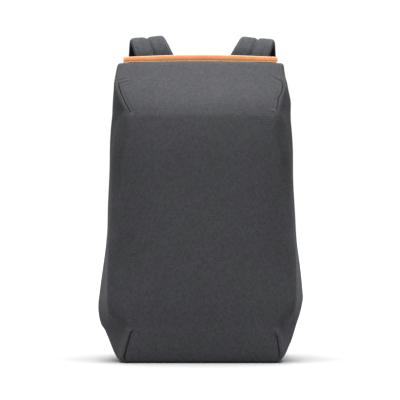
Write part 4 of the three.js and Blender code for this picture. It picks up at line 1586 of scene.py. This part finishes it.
@dataclass
class BackPanel:
    """The padded board against the wearer's back, with three pads of spacer mesh.

    Attributes:
        finishes: The backpack's materials.
        rim: The outline that the board follows.
        rounding: Of the board's edge.
        seam_inset: From the outline to the seam round the board.
        seam_depth: How far that seam is drawn in.
        pad_depth: How far a pad stands out.
        pad_corner: Rounding of a pad's corners.
        start_inset: How much smaller a pad is before it swells.
        voxel: Size of the cells that a pad is remeshed with.
        pressure: What a pad swells with.
        swell_frames: How long it swells.
        swell_cap: How far a point may move.
        channel: Half width of a sewn channel.
        channel_depth: How deep it is.
        pads: The pads.
    """

    finishes: Finishes
    rim: Rim
    rounding: float = 4.0
    seam_inset: float = 9.0
    seam_depth: float = 1.7
    pad_depth: float = 8.0
    pad_corner: float = 19.5
    start_inset: float = 2.0
    voxel: float = 3.2
    pressure: float = 4.0
    swell_frames: int = 20
    swell_cap: float = 2.6
    channel: float = 2.6
    channel_depth: float = 3.2
    pads: tuple[PadShape, ...] = (
        PadShape("back_pad_left", -102.5, -10.7, 164.3, 369, (-72, -41), Run.UPRIGHT),
        PadShape("back_pad_right", 10.7, 102.5, 164.3, 369, (41, 72), Run.UPRIGHT),
        PadShape("lumbar_pad", -99.5, 99.5, 58.8, 148.8, (88, 119), Run.LEVEL),
    )

    def board(self) -> None:
        """Makes the board, with a sewn seam round its edge."""
        travel = np.linspace(0, self.rim.length, 301)[:-1]
        quarter = np.linspace(0, math.pi / 2, 6)
        edge = -CLEARANCE - self.rounding * (1 - np.sin(quarter))
        near = PANEL_Y + self.rounding * (1 - np.cos(quarter)) * 0.5
        far = BACK_Y - self.rounding * (1 - np.cos(quarter))
        insets = np.array([5.6, 6.8, 7.8, 8.5, 9, 9.5, 10.2, 11.2, 13, 16])
        seam = self.seam_depth * bell(insets, self.seam_inset, 0.95)
        face = BACK_Y - 0.1 - seam - 0.2 * bell(insets, 12, 4)
        front = np.stack([near, edge], -1)
        back = np.stack([far, edge], -1)[::-1]
        section = np.concatenate([front, back, np.stack([face, -insets], -1)])
        rings = self.rim.swept(travel, section).transpose(1, 0, 2)
        centre = np.array([0, 0, 230.0])
        shares = 1 - np.linspace(0, 1, 26)[1:] ** 0.8
        inner = drawn_in(rings[-1] * (1 - BACKWARDS), shares, centre) + BACKWARDS * (BACK_Y - 0.1)
        inner[..., 1] += 0.25 * ripple(inner * [1, 0, 1], 60, 9) - 0.25
        first = drawn_in(rings[0] * (1 - BACKWARDS), [0, 0.5], centre) + BACKWARDS * (PANEL_Y + 0.1)
        points = np.concatenate([first, rings, inner])
        tone = np.zeros(points.shape[:2])
        # Painted shade along the sewn seam's groove.
        tone[len(first) : len(first) + len(section)] = -0.6 * bell(-section[:, 1:], self.seam_inset, 1.0)
        cloth = np.dstack([points[..., ::2] + points[..., 1:2], tone])
        board = lofted("back_board", self.finishes.shell_cloth, points, cloth, False)
        settle(board, "shell_fabric", "back_panel")
        stitches = Skin()
        stitches.stitch(self.rim.line(travel, BACK_Y - 1.35, -self.seam_inset), BACKWARDS)
        settle(stitches.make("back_board_stitches", self.finishes.grey_thread), "shell_fabric")

    def start_form(self, pad: PadShape) -> Piece:
        """Makes a pad before it swells: a slab with round corners, a little smaller than the finished pad.

        Args:
            pad: Its shape.

        Returns:
            The slab.
        """
        corners = [(pad.right, pad.top), (pad.left, pad.top), (pad.left, pad.bottom), (pad.right, pad.bottom)]
        ring = []
        for quarter, (x, z) in enumerate(corners):
            turn = (quarter + np.linspace(0, 1, 13)) * math.pi / 2
            middle_x = x - math.copysign(self.pad_corner, x - pad.centre[0])
            middle_z = z - math.copysign(self.pad_corner, z - pad.centre[2])
            out_x, out_z = self.pad_corner * np.cos(turn), self.pad_corner * np.sin(turn)
            ring.append(np.stack([middle_x + out_x, 0 * turn, middle_z + out_z], -1))
        flat = np.concatenate(ring)
        drawn = 1 - self.start_inset / (min(pad.right - pad.left, pad.top - pad.bottom) / 2)
        levels = [(0, 0), (drawn, 0), (drawn, 3.0), (drawn * 0.97, 5.2), (drawn * 0.93, 6.0), (0, 6.0)]
        points = stacked(flat, pad.centre, levels, BACKWARDS) + BACKWARDS * (BACK_Y + CLEARANCE)
        return lofted(f"{pad.name}_mesh", self.finishes.spacer_mesh, points, points * 0, False)

    def swell(self, piece: Piece) -> None:
        """Remeshes a pad finely and lets it swell as cloth under pressure, held flat on the board.

        Args:
            piece: The pad.
        """
        remesh = piece.modifiers.new("remesh", "REMESH")
        remesh.mode = "VOXEL"
        remesh.voxel_size = self.voxel * MM
        apply_modifier(piece, remesh)
        before = vertex_places(piece)
        seat = piece.vertex_groups.new(name="seat")
        seat.add([i for i, p in enumerate(before) if p[1] < BACK_Y + CLEARANCE + 0.6], 1.0, "REPLACE")
        cloth = piece.modifiers.new("cloth", "CLOTH")
        cloth.settings.use_pressure = True
        cloth.settings.uniform_pressure_force = self.pressure
        cloth.settings.effector_weights.gravity = 0.0
        cloth.settings.vertex_group_mass = "seat"
        cloth.settings.quality = 5
        cloth.point_cache.frame_end = self.swell_frames
        for number in range(1, self.swell_frames + 1):
            bpy.context.scene.frame_set(number)
        apply_modifier(piece, cloth)
        bpy.context.scene.frame_set(1)
        moved = vertex_places(piece) - before
        reach = np.linalg.norm(moved, axis=1, keepdims=True)
        place_vertices(piece, before + moved * np.minimum(1, self.swell_cap / np.maximum(reach, 1e-6)))
        smooth = piece.modifiers.new("smooth", "SUBSURF")
        smooth.levels = smooth.render_levels = 1
        apply_modifier(piece, smooth)

    def pad(self, pad: PadShape) -> None:
        """Makes one pad, and presses its sewn channels in after it has swelled.

        Args:
            pad: Its shape.
        """
        piece = self.start_form(pad)
        self.swell(piece)
        points = vertex_places(piece)
        seat = BACK_Y + CLEARANCE
        up = (points[:, 1] - seat) / self.pad_depth
        across, along = points[:, 0], points[:, 2]
        ends = (pad.bottom, pad.top)
        if pad.run is Run.LEVEL:
            across, along = along, across
            ends = (pad.left, pad.right)
        sewn = sum(bell(across, place, self.channel) for place in pad.channels)
        sewn *= step(along, ends[0] + 12, ends[0] + 26) * step(along, ends[1] - 12, ends[1] - 26)
        sewn *= step(up, 0.35, 0.65)
        points[:, 1] -= self.channel_depth * sewn
        points = np.clip(points, (pad.left, seat, pad.bottom), (pad.right, seat + self.pad_depth, pad.top))
        place_vertices(piece, points)
        # The tone paints shade in the pressed channels.
        cloth = laid(points[:, 0] + points[:, 1], points[:, 2] + points[:, 1], -sewn) * [MM, MM, 1]
        piece.data.attributes.new("cloth", "FLOAT_VECTOR", "POINT").data.foreach_set("vector", cloth.ravel())
        settle(piece, "black_mesh", pad.name)

    def build(self) -> None:
        """Makes the board and its pads."""
        self.board()
        for pad in self.pads:
            self.pad(pad)


# The handle and the straps


@dataclass
class CarryHandle:
    """The tan handle along the top: leather folded over a core, with a paler strip beneath.

    Attributes:
        finishes: The backpack's materials.
        length: From end to end.
        width: From front to back.
        thickness: Of the whole handle.
        lift: How far its middle stands off the body.
        sag: How far its underside hangs into the hand hollow.
        hollow_length: Length of that hollow.
        middle_y: Its place from front to back.
        strip: Height of the paler strip.
        left_rounding: Of its left end.
        right_rounding: Of its right end.
        slant: How far the left end slants.
        seam: From an edge to its seam.
    """

    finishes: Finishes
    length: float = 234.0
    width: float = 24.0
    thickness: float = 8.8
    lift: float = 0.6
    sag: float = 1.3
    hollow_length: float = 176.0
    middle_y: float = 31.45
    strip: float = 1.9
    left_rounding: float = 0.8
    right_rounding: float = 2.6
    slant: float = 0.8
    seam: float = 3.2

    def middle_height(self, x: Points) -> Points:
        """Height of the handle's middle line at x."""
        lifted = self.lift * np.maximum(0, 1 - (2 * x / self.hollow_length) ** 2)
        return ridge_height(x) + CLEARANCE + lifted + self.thickness / 2

    def section(self) -> Points:
        """Draws the handle's section.

        Returns:
            Its points in y and z with their tones: 1 on the paler strip, below 0 on the top, where shade is
                painted.
        """
        half, up = self.width / 2, self.thickness / 2
        cut = -up + self.strip
        side = [(0, -up, 1), (6, -up, 1), (half - 1.2, -up, 1), (half - 0.4, -up + 0.3, 1)]
        side += [(half - 0.3, -up + 0.8, 1), (half - 0.3, cut - 0.15, 1), (half - 0.45, cut, 0.8)]
        side += [(half - 0.2, cut + 0.15, 0), (half, cut + 0.5, 0), (half, 0.2, 0), (half, up - 1.6, 0)]
        # The top's rounding and face get tones below 0: painted shade.
        side += [(half - 0.15, up - 0.8, -0.4), (half - 0.6, up - 0.25, -0.9), (half - 1.4, up - 0.04, -1)]
        side += [(half - 4, up, -1), (0, up, -1)]
        points = np.array(side)
        return np.concatenate([points * [-1, 1, 1], points[-2:0:-1]])

    def leather(self) -> None:
        """Makes the leather, rounded off at its ends."""
        half = self.length / 2
        near = np.array([0, 0.03, 0.12, 0.3, 0.6, 1.0])
        left = -half + near * self.left_rounding
        right = half - near[::-1] * self.right_rounding
        x = np.concatenate([left, np.linspace(left[-1], right[0], 90)[1:-1], right])
        left_round = 1 - np.clip((x + half) / self.left_rounding, 0, 1)
        right_round = 1 - np.clip((half - x) / self.right_rounding, 0, 1)
        drawn = self.left_rounding * (1 - np.sqrt(1 - left_round**2))
        drawn = (drawn + self.right_rounding * (1 - np.sqrt(1 - right_round**2)))[:, None]
        section = self.section()
        y = section[None, :, 0] * (1 - drawn / (self.width / 2))
        z = section[None, :, 1] * (1 - drawn / (self.thickness / 2) * 0.95)
        over_hollow = 1 - np.minimum(1, np.abs(2 * x / self.hollow_length)) ** 4
        z = z - self.sag * over_hollow[:, None] * step(z, 1.0, -2.0)
        slanted = self.slant * z / self.thickness * step(x, -half + 20, -half)[:, None]
        height = self.middle_height(x)[:, None]
        points = np.stack([x[:, None] + slanted, y + self.middle_y, z + height], -1)
        around = travelled(section[:, :2])
        cloth = laid(around, x[:, None], section[:, 2])
        settle(lofted("leather_handle", self.finishes.leather, points, cloth), "tan_leather", "carry_handle")

    def stitches(self) -> None:
        """Sews a row along each long edge and two across each end."""
        half = self.length / 2
        reach = self.width / 2 - self.seam
        thread = Skin()
        x = np.linspace(-half + 5, half - 5, 120)
        for y in (self.middle_y - reach, self.middle_y + reach):
            z = self.middle_height(x) + self.thickness / 2 - 0.12
            thread.stitch(np.stack([x, np.full(120, y), z], -1), (0, 0, 1.0), 4.6, 3.3)
        y = np.linspace(-1, 1, 20) * reach + self.middle_y
        for end in (-half + 5, -half + 30, half - 30, half - 5):
            x = np.full(20, end)
            z = self.middle_height(x) + self.thickness / 2 - 0.05
            thread.stitch(np.stack([x, y, z], -1), (0, 0, 1.0))
        settle(thread.make("handle_stitches", self.finishes.tan_thread), "tan_leather")

    def build(self) -> None:
        """Makes the handle and its stitching."""
        self.leather()
        self.stitches()


class StrapRow(NamedTuple):
    """One row of a shoulder strap's route, as shares of the strap's own sizes.

    Attributes:
        x: Of the body's half width.
        reach: Of how far the strap stands off the back.
        rise: Of the height of the strap's top.
        width: Of its width.
        thick: Of its thickness.
    """

    x: float
    reach: float
    rise: float
    width: float
    thick: float


STRAP_ROUTE = [
    StrapRow(0.35, 0, 0.83, 0.9, 0.3),
    StrapRow(0.375, 0, 0.88, 0.96, 0.8),
    StrapRow(0.42, 0.02, 0.935, 0.98, 1),
    StrapRow(0.485, 0.12, 0.981, 0.94, 1),
    StrapRow(0.53, 0.35, 1.006, 0.9, 1),
    StrapRow(0.545, 0.63, 0.997, 0.9, 1),
    StrapRow(0.555, 0.83, 0.956, 0.91, 1),
    StrapRow(0.575, 0.95, 0.878, 0.93, 1),
    StrapRow(0.6, 1, 0.774, 0.98, 1),
    StrapRow(0.632, 0.97, 0.648, 1, 1),
    StrapRow(0.67, 0.86, 0.523, 0.97, 1),
    StrapRow(0.715, 0.68, 0.397, 0.84, 0.95),
    StrapRow(0.755, 0.47, 0.293, 0.58, 0.75),
]


@dataclass
class ShoulderStrap:
    """One padded shoulder strap with its mesh lining, adjuster, webbings and sewn patch.

    Attributes:
        finishes: The backpack's materials.
        side: The side that it is on.
        lean: How far its top leans outwards.
        drop: How far its top hangs lower.
        half_width: Of the body.
        loop_top: Height of its top.
        reach: How far it stands off the back.
        width: Of the strap.
        thickness: Of its padding.
        groove: How deep the seam down its middle is.
        squareness: How square its edges are.
        pucker: How high the waves beside that seam are.
        pucker_pitch: From one such wave to the next.
        lining: Thickness of its mesh lining.
        lining_inset: How much narrower the lining is on each side.
        tilt: How much its width slants.
        fine_steps: Steps along the padding.
        coarse_steps: Steps along the solid that the adjuster hangs on.
        first_bar: From the strap's end to the adjuster's first bar.
        bar_pitch: From one bar to the next.
        turn_radius: Of a webbing round a bar.
        tail: Length of the long webbing's free end.
        seam: From the strap's edge to its seam.
        patch_width: Of the sewn patch.
        patch_height: Of the patch.
        patch_thickness: Of the patch.
        patch_bottom: Height of its lower edge.
    """

    finishes: Finishes
    side: Side
    lean: float = 0.0
    drop: float = 0.0
    half_width: float = 153.0
    loop_top: float = 474.0
    reach: float = 56.0
    width: float = 58.0
    thickness: float = 11.0
    groove: float = 2.3
    squareness: int = 12
    pucker: float = 0.22
    pucker_pitch: float = 9.0
    lining: float = 2.0
    lining_inset: float = 0.7
    tilt: float = 0.08
    fine_steps: int = 150
    coarse_steps: int = 34
    first_bar: float = 7.0
    bar_pitch: float = 9.0
    turn_radius: float = 3.05
    tail: float = 90.0
    seam: float = 3.2
    patch_width: float = 34.0
    patch_height: float = 46.0
    patch_thickness: float = 2.5
    patch_bottom: float = 6.8

    def __post_init__(self) -> None:
        """Lays the strap's route out, finely for its padding and coarsely for what hangs on it."""
        self.route, self.places = self.frames(self.fine_steps)
        self.travel = travelled(self.route.point)
        self.half = self.width * self.column("width", self.places)[:, None] / 2
        coarse, places = self.frames(self.coarse_steps)
        self.end = Frames(*(part[-1] for part in coarse))
        self.end_middle = self.lining + CLEARANCE + self.thickness * self.column("thick", places[-1:])[0] / 2

    def column(self, name: str, places: Points) -> Points:
        """A column of the route's table at places counted in its rows."""
        return np.interp(places, np.arange(len(STRAP_ROUTE)), [getattr(row, name) for row in STRAP_ROUTE])

    def seat(self, thick: Points) -> Points:
        """How far back the strap's inner face lies where it rests on the panel."""
        return BACK_Y + 2 * CLEARANCE + self.lining + self.thickness * thick

    def frames(self, steps: int) -> tuple[Frames, Points]:
        """Lays frames along the strap's inner face, evenly spaced.

        Args:
            steps: How many steps they take.

        Returns:
            The frames, and their places in the route's table.
        """
        x, reach, rise, _, thick = np.array(STRAP_ROUTE).T
        rows = np.arange(len(STRAP_ROUTE))
        leaning = step(rows, 0, 3.5) * step(rows, 11, 7)
        x = self.side.value * (self.half_width * x + self.lean * leaning)
        z = self.loop_top * rise - self.drop * leaning
        fine, places = smooth_route(np.stack([x, self.seat(thick) + self.reach * reach, z], -1), 60)
        travel = travelled(fine)
        even = np.linspace(0, travel[-1], steps + 1)
        points = read_along(travel, fine, even)
        places = np.interp(even, travel, places)
        axis = np.tile([[1.0, 0, -self.tilt * self.side.value]], (steps + 1, 1))
        across = Frames.along(points, axis).across
        tilt = np.abs(across[:, 1]) * self.width * self.column("width", places) / 2
        points[:, 1] = np.maximum(points[:, 1], self.seat(self.column("thick", places)) + tilt)
        return Frames.along(points, axis), places

    def pad(self) -> None:
        """Makes the padded strap: two soft lobes of cloth with a sewn groove between them."""
        share = self.column("thick", self.places)[:, None]
        thick = self.thickness * share
        w = -np.cos(np.linspace(0, math.pi, 41))
        under_w = w[::-1][1:-1]
        over = 0.5 + 0.5 * np.sqrt(np.maximum(0, 1 - np.abs(w) ** self.squareness))
        lobe = 0.045 * np.sin(math.pi * np.abs(w)) - 0.03
        wave_turn = 2 * math.pi * self.travel / self.pucker_pitch + 1.3 * self.side.value
        wave = self.pucker * np.sin(wave_turn)[:, None]
        face_w = w[None] * self.half
        pinch = self.groove * share * bell(face_w, 0, 2.6) - wave * bell(np.abs(face_w), 6.5, 4.0)
        top = np.minimum(thick * (over + lobe)[None] - pinch, thick)
        under = thick * 0.5 * (1 - np.sqrt(np.maximum(0, 1 - np.abs(under_w) ** self.squareness)))[None]
        floor = self.lining + CLEARANCE
        ring_w = np.concatenate([w, under_w])[None] * self.half
        ring_n = np.concatenate([top, under], axis=1) + floor
        # The tone paints shade in the middle groove, over the whole underside and on the side walls.
        tone = np.concatenate([-0.75 * bell(face_w, 0, 1.5), np.full_like(under, -1.3)], axis=1)
        tone -= 1.1 * step(np.abs(ring_w), self.half - 1.2, self.half)
        cloth = laid(ring_w + ring_n, self.travel[:, None], tone)
        word = self.side.word
        pad = lofted(f"strap_pad_{word}", self.finishes.strap_cloth, self.route.rings(ring_w, ring_n), cloth)
        settle(pad, "strap_fabric", f"strap_{word}")
        thick, half = thick[:, 0], self.half[:, 0]
        at = half - self.seam
        edge_rise = thick * (0.5 + 0.5 * np.sqrt(1 - (at / half) ** self.squareness))
        edge_rise = edge_rise - 0.03 * thick + floor + 0.15
        middle_rise = thick * 0.97 - self.groove * share[:, 0] + floor + 0.1
        thread = Skin()
        for w, rise in ((-at, edge_rise), (at, edge_rise), (0.0, middle_rise)):
            thread.stitch(self.route.place(w, rise), self.route.outward)
        settle(thread.make(f"strap_stitches_{word}", self.finishes.grey_thread), "strap_fabric")

    def mesh_lining(self) -> None:
        """Makes the spacer mesh against the wearer's shoulder, darker where the strap's top shades it."""
        turn = full_turn(32)
        n = self.lining / 2 * (1 + boxed(np.sin(turn), 0.7))
        ring_w = boxed(np.cos(turn), 0.3)[None] * (self.half - self.lining_inset)
        rings = self.route.rings(ring_w, np.broadcast_to(n[None], ring_w.shape))
        cloth = laid(ring_w, self.travel[:, None], -1.3 * step(self.travel, 260, 180)[:, None])
        word = self.side.word
        lining = lofted(f"strap_mesh_{word}", self.finishes.spacer_mesh, rings, cloth)
        settle(lining, "black_mesh", f"strap_lining_{word}")

    def beyond(self, s: Points | float, n: Points | float) -> Points:
        """Points s beyond the strap's end and n outwards from its middle."""
        s, n = (value[..., None] for value in np.broadcast_arrays(s, n))
        return self.end.point + self.end.tangent * s + self.end.outward * (self.end_middle + n)

    def bar(self, number: int) -> float:
        """Place of one of the adjuster's bars beyond the strap's end."""
        return self.first_bar + self.bar_pitch * number

    def half_turn(self, bar_at: float, facing: float) -> Points:
        """Points of a half turn round a bar, from its inner side to its outer side."""
        turn = np.linspace(-math.pi / 2, math.pi / 2, 15)
        return self.beyond(bar_at + facing * self.turn_radius * np.cos(turn), self.turn_radius * np.sin(turn))

    def webbing(self, name: str, points: Points, axis: Points, node: str) -> Frames:
        """Makes a webbing.

        Args:
            name: Its name.
            points: The points of its middle line.
            axis: The direction across it, at each of them.
            node: The solid that it replaces.

        Returns:
            The frames along it.
        """
        frames = Frames.along(points, axis)
        turn = full_turn(28)
        w = boxed(np.cos(turn), 0.3) * WEBBING_WIDTH / 2
        n = boxed(np.sin(turn), 0.6) * WEBBING_THICKNESS / 2
        ring_w, ring_n = (np.broadcast_to(value, (len(points), len(turn))) for value in (w, n))
        cloth = laid(ring_w, travelled(points)[:, None])
        piece = lofted(name, self.finishes.webbing, frames.rings(ring_w, ring_n), cloth)
        settle(piece, "black_webbing", node)
        return frames

    def patch_point(self, share: float) -> Points:
        """Middle line of the long webbing where it lies on its patch.

        Args:
            share: The share of the patch's height.

        Returns:
            The point.
        """
        x = level_value("rim", np.array([self.patch_bottom + self.patch_height / 2]))[0]
        y = BACK_Y + CLEARANCE + self.patch_thickness + CLEARANCE + WEBBING_THICKNESS / 2
        z = self.patch_bottom + self.patch_height * share
        return np.array([self.side.value * (x - self.patch_width / 2 - 4), y, z])

    def short_webbing(self) -> None:
        """Makes the loop that holds the adjuster by its first bar."""
        reach = np.linspace(CLEARANCE, self.bar(0), 5)
        out = self.beyond(reach[:-1], -self.turn_radius)
        back = self.beyond(reach[::-1][1:], self.turn_radius)
        points = np.concatenate([out, self.half_turn(self.bar(0), 1), back])
        axis = np.tile(self.end.across, (len(points), 1))
        word = self.side.word
        self.webbing(f"short_webbing_{word}", points, axis, f"adjuster_loop_{word}")

    def long_webbing(self) -> None:
        """Makes the webbing that climbs from the patch, turns round the second bar and hangs as a tail."""
        radius, pitch = self.turn_radius, self.bar_pitch
        below = self.bar(2) + pitch
        turn = self.half_turn(self.bar(1), -1)
        route = [self.patch_point(0.25), self.patch_point(0.8)]
        route += [self.beyond(below + pitch * 1.5, -radius), self.beyond(below, -radius), turn[0]]
        climb, _ = smooth_route(np.array(route), 16)
        climb[:, 1] = np.maximum(climb[:, 1], self.patch_point(0)[1])
        turned = step(np.linspace(0, 1, len(climb)), 0.3, 0.8)[:, None]
        climb_axis = np.array([1.0, 0, 0]) * (1 - turned) + self.end.across * turned
        start = self.beyond(below, radius)
        bend = self.beyond(below + self.tail * 0.3, radius)
        finish = bend - [0, 0, self.tail * 0.7]
        t = np.linspace(0, 1, 30)[:, None]
        tail = start * (1 - t) ** 2 + bend * 2 * t * (1 - t) + finish * t**2
        between = turn[-1] + (start - turn[-1]) * np.linspace(0, 1, 8)[1:-1, None]
        points = np.concatenate([climb[:-1], turn, between, tail])
        axis = np.concatenate([climb_axis[:-1], np.tile(self.end.across, (len(points) - len(climb) + 1, 1))])
        word = self.side.word
        frames = self.webbing(f"long_webbing_{word}", points, axis, f"webbing_{word}")
        thread = Skin()
        w = np.linspace(-10.5, 10.5, 12)[:, None]
        for back_from_end in (6, 9):
            hem = Frames(*(part[-back_from_end] for part in frames))
            for out in (-hem.outward, hem.outward):
                thread.stitch(hem.point + hem.across * w + out * 0.8, out)
        self.box_stitch(thread)
        settle(thread.make(f"webbing_stitches_{word}", self.finishes.black_thread), "black_webbing")

    def box_stitch(self, thread: Skin) -> None:
        """Sews a box with a cross through it where the webbing lies on its patch.

        Args:
            thread: The skin that gets the stitches.
        """
        middle = self.patch_point(0.52) + BACKWARDS * (WEBBING_THICKNESS / 2 + 0.05)
        corners = [middle + [x, 0, z] for x, z in ((-9.5, -9), (9.5, -9), (9.5, 9), (-9.5, 9))]
        t = np.linspace(0, 1, 10)[:, None]
        for start, end in ((0, 1), (1, 2), (2, 3), (3, 0), (0, 2), (1, 3)):
            thread.stitch(corners[start] * (1 - t) + corners[end] * t, BACKWARDS, 3.4, 2.5)

    def patch(self) -> None:
        """Makes the sewn patch that holds the long webbing."""
        outline = np.array([(-1, 0), (1, 0), (1, 0.45), (0.82, 1), (-0.82, 1), (-1, 0.45)])
        t = np.linspace(0, 1, 9)[:-1, None]
        sides = [a * (1 - t) + b * t for a, b in zip(outline, np.roll(outline, -1, axis=0))]
        flat = np.concatenate(sides) * [self.patch_width / 2, self.patch_height]
        middle = self.patch_point(0)[0]
        ring = np.stack([flat[:, 0] + middle, 0 * flat[:, 0], flat[:, 1] + self.patch_bottom], -1)
        centre = np.array([middle, 0, self.patch_bottom + self.patch_height / 2])
        top = self.patch_thickness
        levels = [(0, 0), (0.5, 0), (0.97, 0), (1, 0.5), (1, top - 0.7), (0.97, top - 0.1), (0.9, top - 0.4)]
        levels += [(0.84, top), (0.5, top), (0, top)]
        points = stacked(ring, centre, levels, BACKWARDS) + BACKWARDS * (BACK_Y + CLEARANCE)
        cloth = laid(points[..., 0] - middle, points[..., 2])
        word = self.side.word
        patch = lofted(f"patch_{word}", self.finishes.webbing, points, cloth, False)
        settle(patch, "black_webbing", f"anchor_{word}")

    def adjuster(self) -> None:
        """Dresses the moulded adjuster, which stays one of the frame's solids, and softens its edges."""
        adjuster = bpy.data.objects[f"adjuster_{self.side.word}"]
        if not adjuster.material_slots:
            adjuster.data.materials.append(None)
        for slot in adjuster.material_slots:
            slot.link = "OBJECT"
            slot.material = self.finishes.plastic
        bevel = adjuster.modifiers.new("moulded_edges", "BEVEL")
        bevel.width = 0.45 * MM
        bevel.segments = 2
        bevel.limit_method = "ANGLE"
        bevel.angle_limit = math.radians(35)

    def build(self) -> None:
        """Makes the strap and all that hangs on it."""
        self.pad()
        self.mesh_lining()
        self.short_webbing()
        self.long_webbing()
        self.patch()
        self.adjuster()


# Studio


@dataclass
class Studio:
    """Floor, light and camera.

    Attributes:
        aim: The point in the middle of the image, in millimetres.
        distance: From the camera to the aim, in metres.
        elevation: Of the camera above the horizon, in degrees.
        field: The image's width at the aim, in metres.
        floor_half: Half the floor's width, in metres.
        floor_colour: The floor's paper.
        sky: Strength of the light from all round.
        sun: Strength of the broad light from above.
        spread: How broad it is, in degrees.
    """

    aim: tuple[float, float, float] = (-0.8, -14.0, 243.4)
    distance: float = 6.0
    elevation: float = 2.0
    field: float = 0.6045
    floor_half: float = 4.0
    floor_colour: Colour = (0.285, 0.285, 0.288)
    sky: float = 1.02
    sun: float = 10.5
    spread: float = 60.0

    def camera(self) -> None:
        """Makes the camera."""
        data = bpy.data.cameras.new("camera")
        data.sensor_width = 36
        data.lens = data.sensor_width * self.distance / self.field
        data.clip_start, data.clip_end = 0.1, 50
        made = bpy.data.objects.new("camera", data)
        tilt = math.radians(self.elevation)
        made.location = Vector(self.aim) * MM + Vector((0, -math.cos(tilt), math.sin(tilt))) * self.distance
        made.rotation_euler = (math.pi / 2 - tilt, 0, 0)
        bpy.context.scene.collection.objects.link(made)
        bpy.context.scene.camera = made

    def floor(self) -> None:
        """Makes the pale floor."""
        net = Net("pale_floor")
        paler = tuple(1.02 * c for c in self.floor_colour)
        colour = net.mix(net.noise(net.solid(), 2.0), self.floor_colour, paler)
        paper = net.surface({"Base Color": colour, "Roughness": 0.9, "Specular IOR Level": 0.0})
        corners = np.array([[-1, -1, 0], [1, -1, 0], [1, 1, 0], [-1, 1, 0]]) * self.floor_half / MM
        skin = Skin()
        skin.add(corners, corners * 0, [(0, 1, 2, 3)])
        skin.make("floor", paper, closed=False)

    def lights(self) -> None:
        """Makes the white surroundings and one broad light straight above."""
        world = bpy.data.worlds.new("studio")
        world.use_nodes = True
        surroundings = world.node_tree.nodes["Background"].inputs
        surroundings["Color"].default_value = (1, 1, 1, 1)
        surroundings["Strength"].default_value = self.sky
        bpy.context.scene.world = world
        data = bpy.data.lights.new("overhead", "SUN")
        data.energy = self.sun
        data.angle = math.radians(self.spread)
        bpy.context.scene.collection.objects.link(bpy.data.objects.new("overhead", data))

    def build(self) -> None:
        """Makes the camera, the floor and the lights."""
        self.camera()
        self.floor()
        self.lights()
        bpy.context.scene.view_settings.view_transform = "Standard"


def main() -> None:
    """Builds the studio and every sub-assembly in order."""
    logging.basicConfig(level=logging.INFO, format="%(name)s: %(message)s")
    Studio().build()
    finishes, rim = Finishes(), Rim()
    BodyShell(finishes).build()
    BackEdge(finishes, rim).build()
    BackPanel(finishes, rim).build()
    BasePanel(finishes).build()
    CarryHandle(finishes).build()
    ShoulderStrap(finishes, Side.LEFT).build()
    ShoulderStrap(finishes, Side.RIGHT, lean=5.5, drop=1.5).build()


if __name__ == "__main__":
    main()
